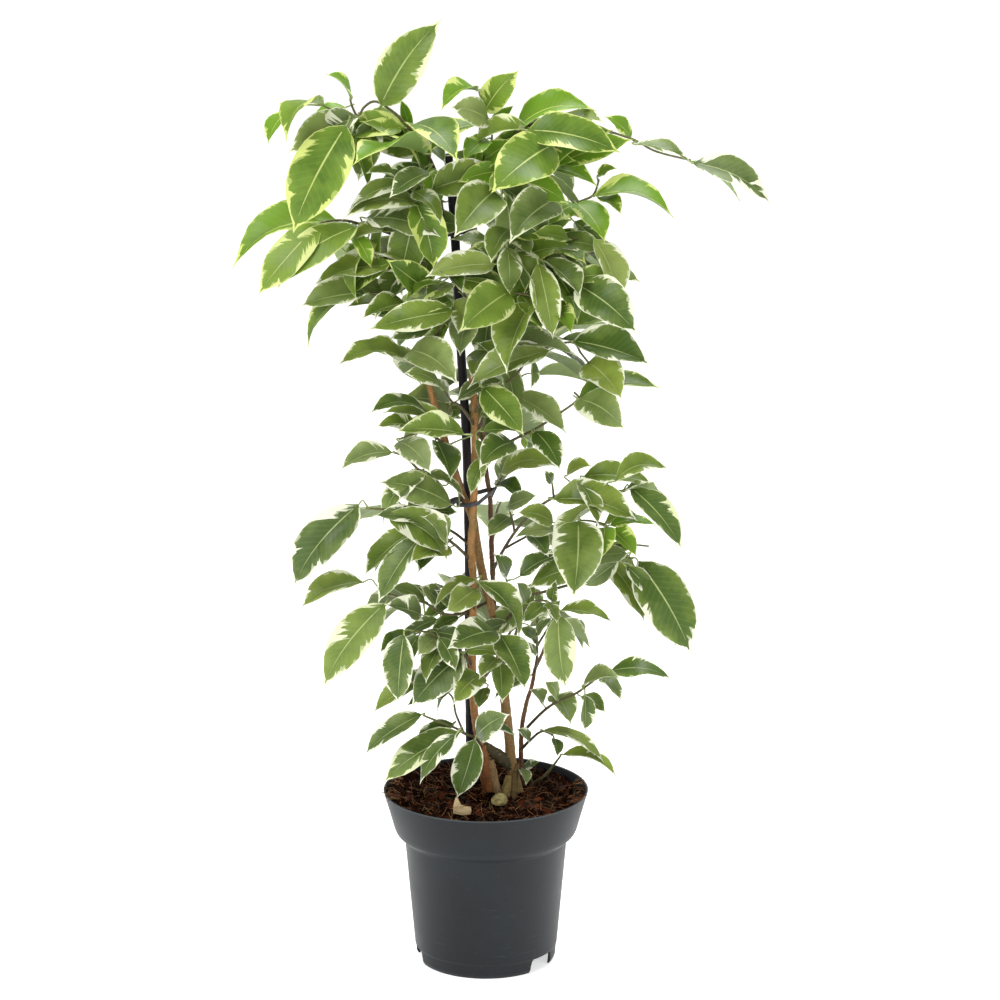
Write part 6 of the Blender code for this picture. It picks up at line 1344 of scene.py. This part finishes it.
def buildFibres(tree, finish):
    # They lie in tangles on the soil, and some stick out over the rim at both sides
    draws = random.Random(fibreSize["seed"])
    steps, lip, farthest = fibreSize["steps"], fibreSize["lip"] * mm, fibreSize["farthest"] * mm
    strands = []
    for number in range(fibreSize["count"]):
        angle = draws.uniform(0, 2 * math.pi)
        reach = math.sqrt(draws.random()) * fibreSize["spread"] * mm
        heading = Vector((draws.uniform(-1, 1), draws.uniform(-1, 1), draws.uniform(-0.1, 0.5)))
        over = number % fibreSize["overEvery"] == 0
        if over:
            angle = draws.choice(fibreSize["overAt"]) + draws.uniform(-0.4, 0.4)
            reach = draws.uniform(*fibreSize["overReach"]) * mm
        here = Vector((reach * math.cos(angle), reach * math.sin(angle), 0))
        here.z = roughSoil(here.x, here.y) + draws.uniform(-0.3, 0.9) * mm
        if over:
            here.z = draws.uniform(*fibreSize["overHeight"]) * mm
            heading += Vector((here.x, here.y, 0)).normalized() * 0.9
        heading.normalize()
        length = draws.uniform(*fibreSize["length"]) * mm
        points = []
        for step in range(steps + 1):
            points.append(here.copy())
            curl = Vector([draws.uniform(-0.5, 0.5) for axis in range(3)]) * fibreSize["curl"]
            heading = (heading + curl).normalized()
            here = here + heading * length / steps
            away = math.hypot(here.x, here.y)
            floor = roughSoil(here.x, here.y) if away < fibreSize["soilEdge"] * mm else lip
            if here.z < floor - 0.2 * mm:
                here.z = floor + 0.2 * mm
            here.z = min(here.z, floor + fibreSize["highest"] * mm)
            if away > farthest:
                here.x *= farthest / away
                here.y *= farthest / away
        warm = draws.random()
        tint = linear("#6e3c1e" if warm > 0.6 else "#2c180f" if warm > 0.2 else "#a8703f")
        radius = draws.uniform(*fibreSize["radius"]) * mm
        strands.append(dict(points=points, first=radius, last=radius * 0.5, tints=(tint, tint)))
    made = grown("soil_fibres", strandMesh("soil_fibres", strands), tree, Step=1.3 * mm, Sides=4, Rough=0.0,
                 Finish=finish)
    finished(made, "potting_soil", "soil")


# Stems: each one's two end colours, from the soil up
stemTints = dict(front=("#b07a42", "#b98a50"), middle=("#957544", "#b07c46"), back=("#7a523a", "#6a4a36"),
                 right=("#8f6044", "#7c5540"))


def stemStrand(path, tints):
    return dict(points=stemPoints(path), radii=[radius * mm for column, row, depth, radius in path],
                tints=[linear(tint) for tint in tints])


# Root flares and the swollen foot of the old wood, which only the scene has
flarePaths = [
    ([(513, 770, 10, 2.6), (516, 785, 9, 3.0), (520, 798, 8, 2.6), (523, 812, 8, 1.8)],
     ("#ab9558", "#8f7a4a")),
    ([(509, 775, 9, 2.6), (505, 790, 5, 3.0), (503, 803, 3, 2.9), (500, 818, 2, 1.6)],
     ("#b8a062", "#a08c54")),
    ([(516, 762, 9, 1.6), (514, 778, 6, 1.9), (513, 794, 5, 2.0), (512, 815, 4, 1.6)],
     ("#6e5a30", "#a8905a")),
    ([(481, 744, 1, 2.6), (483, 758, 1, 3.2), (485, 775, 2, 3.5), (487, 792, 3, 3.4), (489, 806, 3, 3.0),
      (490, 820, 3, 2.2)], ("#9a5f2e", "#8a4f24")),
    ([(479, 742, 2, 2.2), (487, 747, 3, 3.2), (496, 754, 5, 3.5), (504, 761, 8, 3.1), (513, 768, 10, 2.4)],
     ("#55482a", "#3c3c22")),
    ([(489, 758, 3, 2.2), (492, 772, 3, 2.7), (495, 788, 3, 2.7), (499, 806, 4, 2.4), (501, 822, 4, 1.8)],
     ("#a58456", "#b59a70"))]


def buildStems(tree, barkFinish, youngFinish):
    strands = [stemStrand(stemPaths[name], stemTints[name]) for name in ("front", "middle", "back")]
    strands.append(stemStrand(archPath, ("#54482a", "#4a4a2a")))
    strands.append(stemStrand(legPath, ("#a08a58", "#8f8450")))
    strands += [stemStrand(*flare) for flare in flarePaths]
    made = grown("trunk_bark", strandMesh("trunk_bark", strands), tree, Step=1.2 * mm, Sides=18,
                 Rough=0.28 * mm, Grain=260.0, Finish=barkFinish)
    finished(made, "bark", "trunk")
    young = stemStrand(stemPaths["right"], stemTints["right"])
    made = grown("right_bark", strandMesh("right_bark", [young]), tree, Step=1.2 * mm, Sides=14,
                 Rough=0.16 * mm, Grain=320.0, Finish=youngFinish)
    finished(made, "young_bark", "right_stem")


def buildCane(tree, finish):
    # The cane's top is cut square with a worn edge, and its skin has faint ridges
    points = stemPoints(canePath)
    black = linear("#1d1a20")
    rod = dict(points=points[::-1], first=caneRadius, last=caneRadius, tints=(black, black))
    made = grown("cane_rod", strandMesh("cane_rod", [rod]), tree, Step=2.5 * mm, Sides=28, Rough=0.07 * mm,
                 Grain=180.0, Finish=finish)
    finished(made, "cane", "cane")


# The ties: a piece, its node, its row, the stems that it goes round besides the cane, and its slope. Their
# section is how far out and up each corner stands in mm, and the lower one's pinched end stands out to the
# left.
ties = [("lower_strap", "lower_tie", 497, ("front", "middle", "back"), 0.22),
        ("upper_strap", "upper_tie", 231, ("middle", "back"), 0.05)]
tieSize = dict(sides=64, slack=0.3, wave=0.25, near=4, section=[
    (0.25, -1.2), (0.25, 1.2), (0.55, 1.35), (1.05, 1.1), (1.15, 0.0), (1.05, -1.1), (0.55, -1.35)])
tieTail = [(461, 498, -3, 1.1), (457, 498, -6, 1.5), (452, 500, -7, 2.0), (448, 503, -7, 1.9),
           (446, 504, -7, 1.2)]


def hullRound(circles, grow):
    # The smooth outline that a tight band takes round several stems, as points at the same angles
    places = []
    for number in range(tieSize["sides"]):
        angle = 2 * math.pi * number / tieSize["sides"]
        across = Vector((math.cos(angle), math.sin(angle)))
        x, y, radius = max(circles, key=lambda place: place[0] * across.x + place[1] * across.y + place[2])
        places.append(Vector((x, y)) + across * (radius + grow))
    return places


def buildTies(tree, finish):
    # A soft strap goes round the stems and the cane
    near, section, sides = tieSize["near"], tieSize["section"], tieSize["sides"]
    for name, node, row, stems, slope in ties:
        circles, heights = [], []
        for stem in stems:
            for aside in (-near, 0, near):
                point, radius, heading = alongStem(stem, row + aside)
                circles.append((point.x, point.y, radius))
            heights.append((alongStem(stem, row)[0].x, alongStem(stem, row)[0].z))
        for low, high in zip(canePath, canePath[1:]):
            if low[1] <= row <= high[1]:
                point = placeOf(*low[:3]).lerp(placeOf(*high[:3]), (row - low[1]) / (high[1] - low[1]))
                circles.append((point.x, point.y, caneRadius))
                heights.append((point.x, point.z))
        middle = sum(height for x, height in heights) / len(heights)
        centre = sum(x for x, height in heights) / len(heights)
        corners, faces = [], []
        outlines = [hullRound(circles, (tieSize["slack"] + out) * mm) for out, up in section]
        for number in range(sides):
            wave = tieSize["wave"] * mm * math.sin(number * 0.4 + row)
            for (out, up), outline in zip(section, outlines):
                x, y = outline[number]
                corners.append(Vector((x, y, middle + (x - centre) * slope + up * mm + wave)))
        count = len(section)
        for number in range(sides):
            for step in range(count):
                a, b = number * count, (number + 1) % sides * count
                after = (step + 1) % count
                faces.append((a + step, a + after, b + after, b + step))
        mesh = meshOf(name, corners, faces=faces)
        outward(mesh)
        mesh.materials.append(finish)
        smoothed(mesh, 55)
        finished(objectOf(name, mesh), "tie", node)
    tail = stemStrand(tieTail, ("#2b2b2f", "#2b2b2f"))
    made = grown("strap_tail", strandMesh("strap_tail", [tail]), tree, Step=1.0 * mm, Sides=10,
                 Rough=0.15 * mm, Grain=300.0, Finish=finish)
    finished(made, "tie", "lower_tie")


# The chip's outline is in pixels and its two depths in mm. The knob is half a section in mm, turned.
chipSize = dict(depths=(-36, -32.4), edge=0.35, outline=[
    (452, 816), (452, 811), (453, 805), (455, 799), (456.5, 799.5), (458, 803), (460, 807), (464, 808.5),
    (470, 809), (470.5, 813), (470, 817), (461, 818)])
knobSize = dict(sides=32, lumps=260, rough=0.5, profile=[
    (0, 0), (3.6, 0), (4.6, 0.5), (5.0, 1.6), (4.9, 2.9), (4.3, 4.2), (3.4, 5.3), (2.4, 6.0), (1.2, 6.5),
    (0, 6.6)])


def buildChips(chipFinish, nubFinish):
    # A hooked chip of pale bark by the rim, and a worn knob of old wood in front of the stems
    corners = [placeOf(column, row, depth)
               for depth in chipSize["depths"] for column, row in chipSize["outline"]]
    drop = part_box("bark_chip")[0][2] - min(corner.z for corner in corners)
    corners = [corner + Vector((0, 0, drop)) for corner in corners]
    count = len(chipSize["outline"])
    faces = [tuple(range(count)), tuple(range(count, 2 * count))[::-1]]
    faces += [((n + 1) % count, n, count + n, count + (n + 1) % count) for n in range(count)]
    chip = objectOf("pine_chip", meshOf("pine_chip", corners, faces=faces))
    outward(chip.data)
    bevel = chip.modifiers.new("edge", "BEVEL")
    bevel.width = chipSize["edge"] * mm
    bevel.segments = 2
    settled(chip)
    chip.data.materials.append(chipFinish)
    smoothed(chip.data, 50)
    finished(chip, "chip", "bark_chip")

    low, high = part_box("wood_nub")
    middle = Vector(((low[0] + high[0]) / 2, (low[1] + high[1]) / 2, low[2]))
    corners, faces = turned([Vector(pair) for pair in knobSize["profile"]], knobSize["sides"])
    corners = [corner + middle + corner.normalized() * noise.noise((corner + middle) * knobSize["lumps"])
               * knobSize["rough"] * mm for corner in corners]
    knob = objectOf("wood_knob", meshOf("wood_knob", corners, faces=faces))
    outward(knob.data)
    knob.data.materials.append(nubFinish)
    smoothed(knob.data, 60)
    finished(knob, "old_wood", "wood_nub")


# A leaf's stalk in mm: the shortest that is made, how much of it bends and the most of that, how far it dips
# and rises, how far it goes under the blade, and its radii
stalkSize = dict(least=0.6, share=0.45, most=5, dip=0.3, rise=0.2, under=1.2,
                 radii=(0.7, 0.5, 0.45, 0.5, 0.32))


def buildTwigs(placed, tree, finish):
    # Twigs darken with age towards their stem. Each leaf stalk is a pale green one, thickest where it joins.
    old, young, stalk, stalkTip = [linear(colour) for colour in ("#4d3c2a", "#6b6f3c", "#7f9348", "#b7c482")]
    strands = []
    for spray in placed.values():
        for number, points in enumerate(spray["twigs"]):
            first = twigSize["side"] if number else twigSize["first"]
            last = twigSize["sideLast"] if number else twigSize["last"]
            strands.append(dict(points=points, first=first * mm, last=last * mm, tints=(old, young)))
        for leaf in spray["leaves"]:
            attach, base = leaf["attach"], leaf["base"]
            along = (leaf["tip"] - base).normalized()
            reach = (base - attach).length
            if reach < stalkSize["least"] * mm:
                continue
            # The stalk leaves its twig straight, and bends into the line of the leaf
            bent = min(reach * stalkSize["share"], stalkSize["most"] * mm)
            bend = base - along * bent - leaf["face"] * stalkSize["dip"] * mm
            halfway = attach.lerp(bend, 0.5) + Vector((0, 0, stalkSize["rise"] * mm))
            strands.append(dict(points=[attach, halfway, bend, base, base + along * stalkSize["under"] * mm],
                                radii=[radius * mm for radius in stalkSize["radii"]],
                                tints=(stalk, stalkTip)))
    made = grown("twigs", strandMesh("twigs", strands), tree, Step=1.6 * mm, Sides=7, Rough=0.06 * mm,
                 Grain=600.0, Finish=finish)
    finished(made, "leaf", *["spray_" + name for name in placed])


def buildLeaves(placed, finish):
    tree = makeLeafTree()
    draws = random.Random(leafShape["seed"])
    for name, spray in placed.items():
        points = leafPoints("leaves_" + name, spray["leaves"], draws)
        finished(grown("leaves_" + name, points, tree, Finish=finish), "leaf", "spray_" + name)


buildStudio()
print("studio ready")
placed = layPlant()
print("plant laid:", sum(len(spray["leaves"]) for spray in placed.values()), "leaves")
tubes = makeTubeTree()
buildPot(makePotFinish())
print("pot turned")
buildSoil(makeSoilFinish("peat_damp", "#070302", "#2c150b"),
          makeSoilFinish("peat_crumbs", "#0c0603", "#6a3820", "own"))
buildFibres(tubes, makeBarkFinish("coir_fibre", 900.0, 2000.0, 0.8, 0.5))
print("soil laid")
buildStems(tubes, makeBarkFinish("fig_bark_old", 420.0, 330.0, 0.78, 0.5),
           makeBarkFinish("fig_bark_young", 500.0, 420.0, 0.72, 0.5))
buildCane(tubes, makeGrainFinish("cane_coated", "#110d11", "#261e23", 120.0, (1.0, 1.0, 0.2), 0.5, 0.2,
                                 IOR=1.5, Specular_IOR_Level=0.2))
buildTies(tubes, makeGrainFinish("strap_rubber", "#232327", "#4a4a50", 300.0, (1.0, 1.0, 1.0), 0.6, 0.2,
                                 IOR=1.5))
buildChips(makeGrainFinish("pine_bark_torn", "#8a6a3e", "#d8c193", 150.0, (1.0, 1.0, 3.5), 0.85, 0.5,
                           IOR=1.45),
           makeGrainFinish("old_wood_worn", "#6f6436", "#b9aa74", 220.0, (1.0, 1.0, 2.0), 0.8, 0.5,
                           IOR=1.45))
print("stems, cane, ties and chips made")
buildTwigs(placed, tubes, makeBarkFinish("fig_twig_skin", 700.0, 700.0, 0.6, 0.35))
buildLeaves(placed, makeLeafFinish())
print("foliage grown")
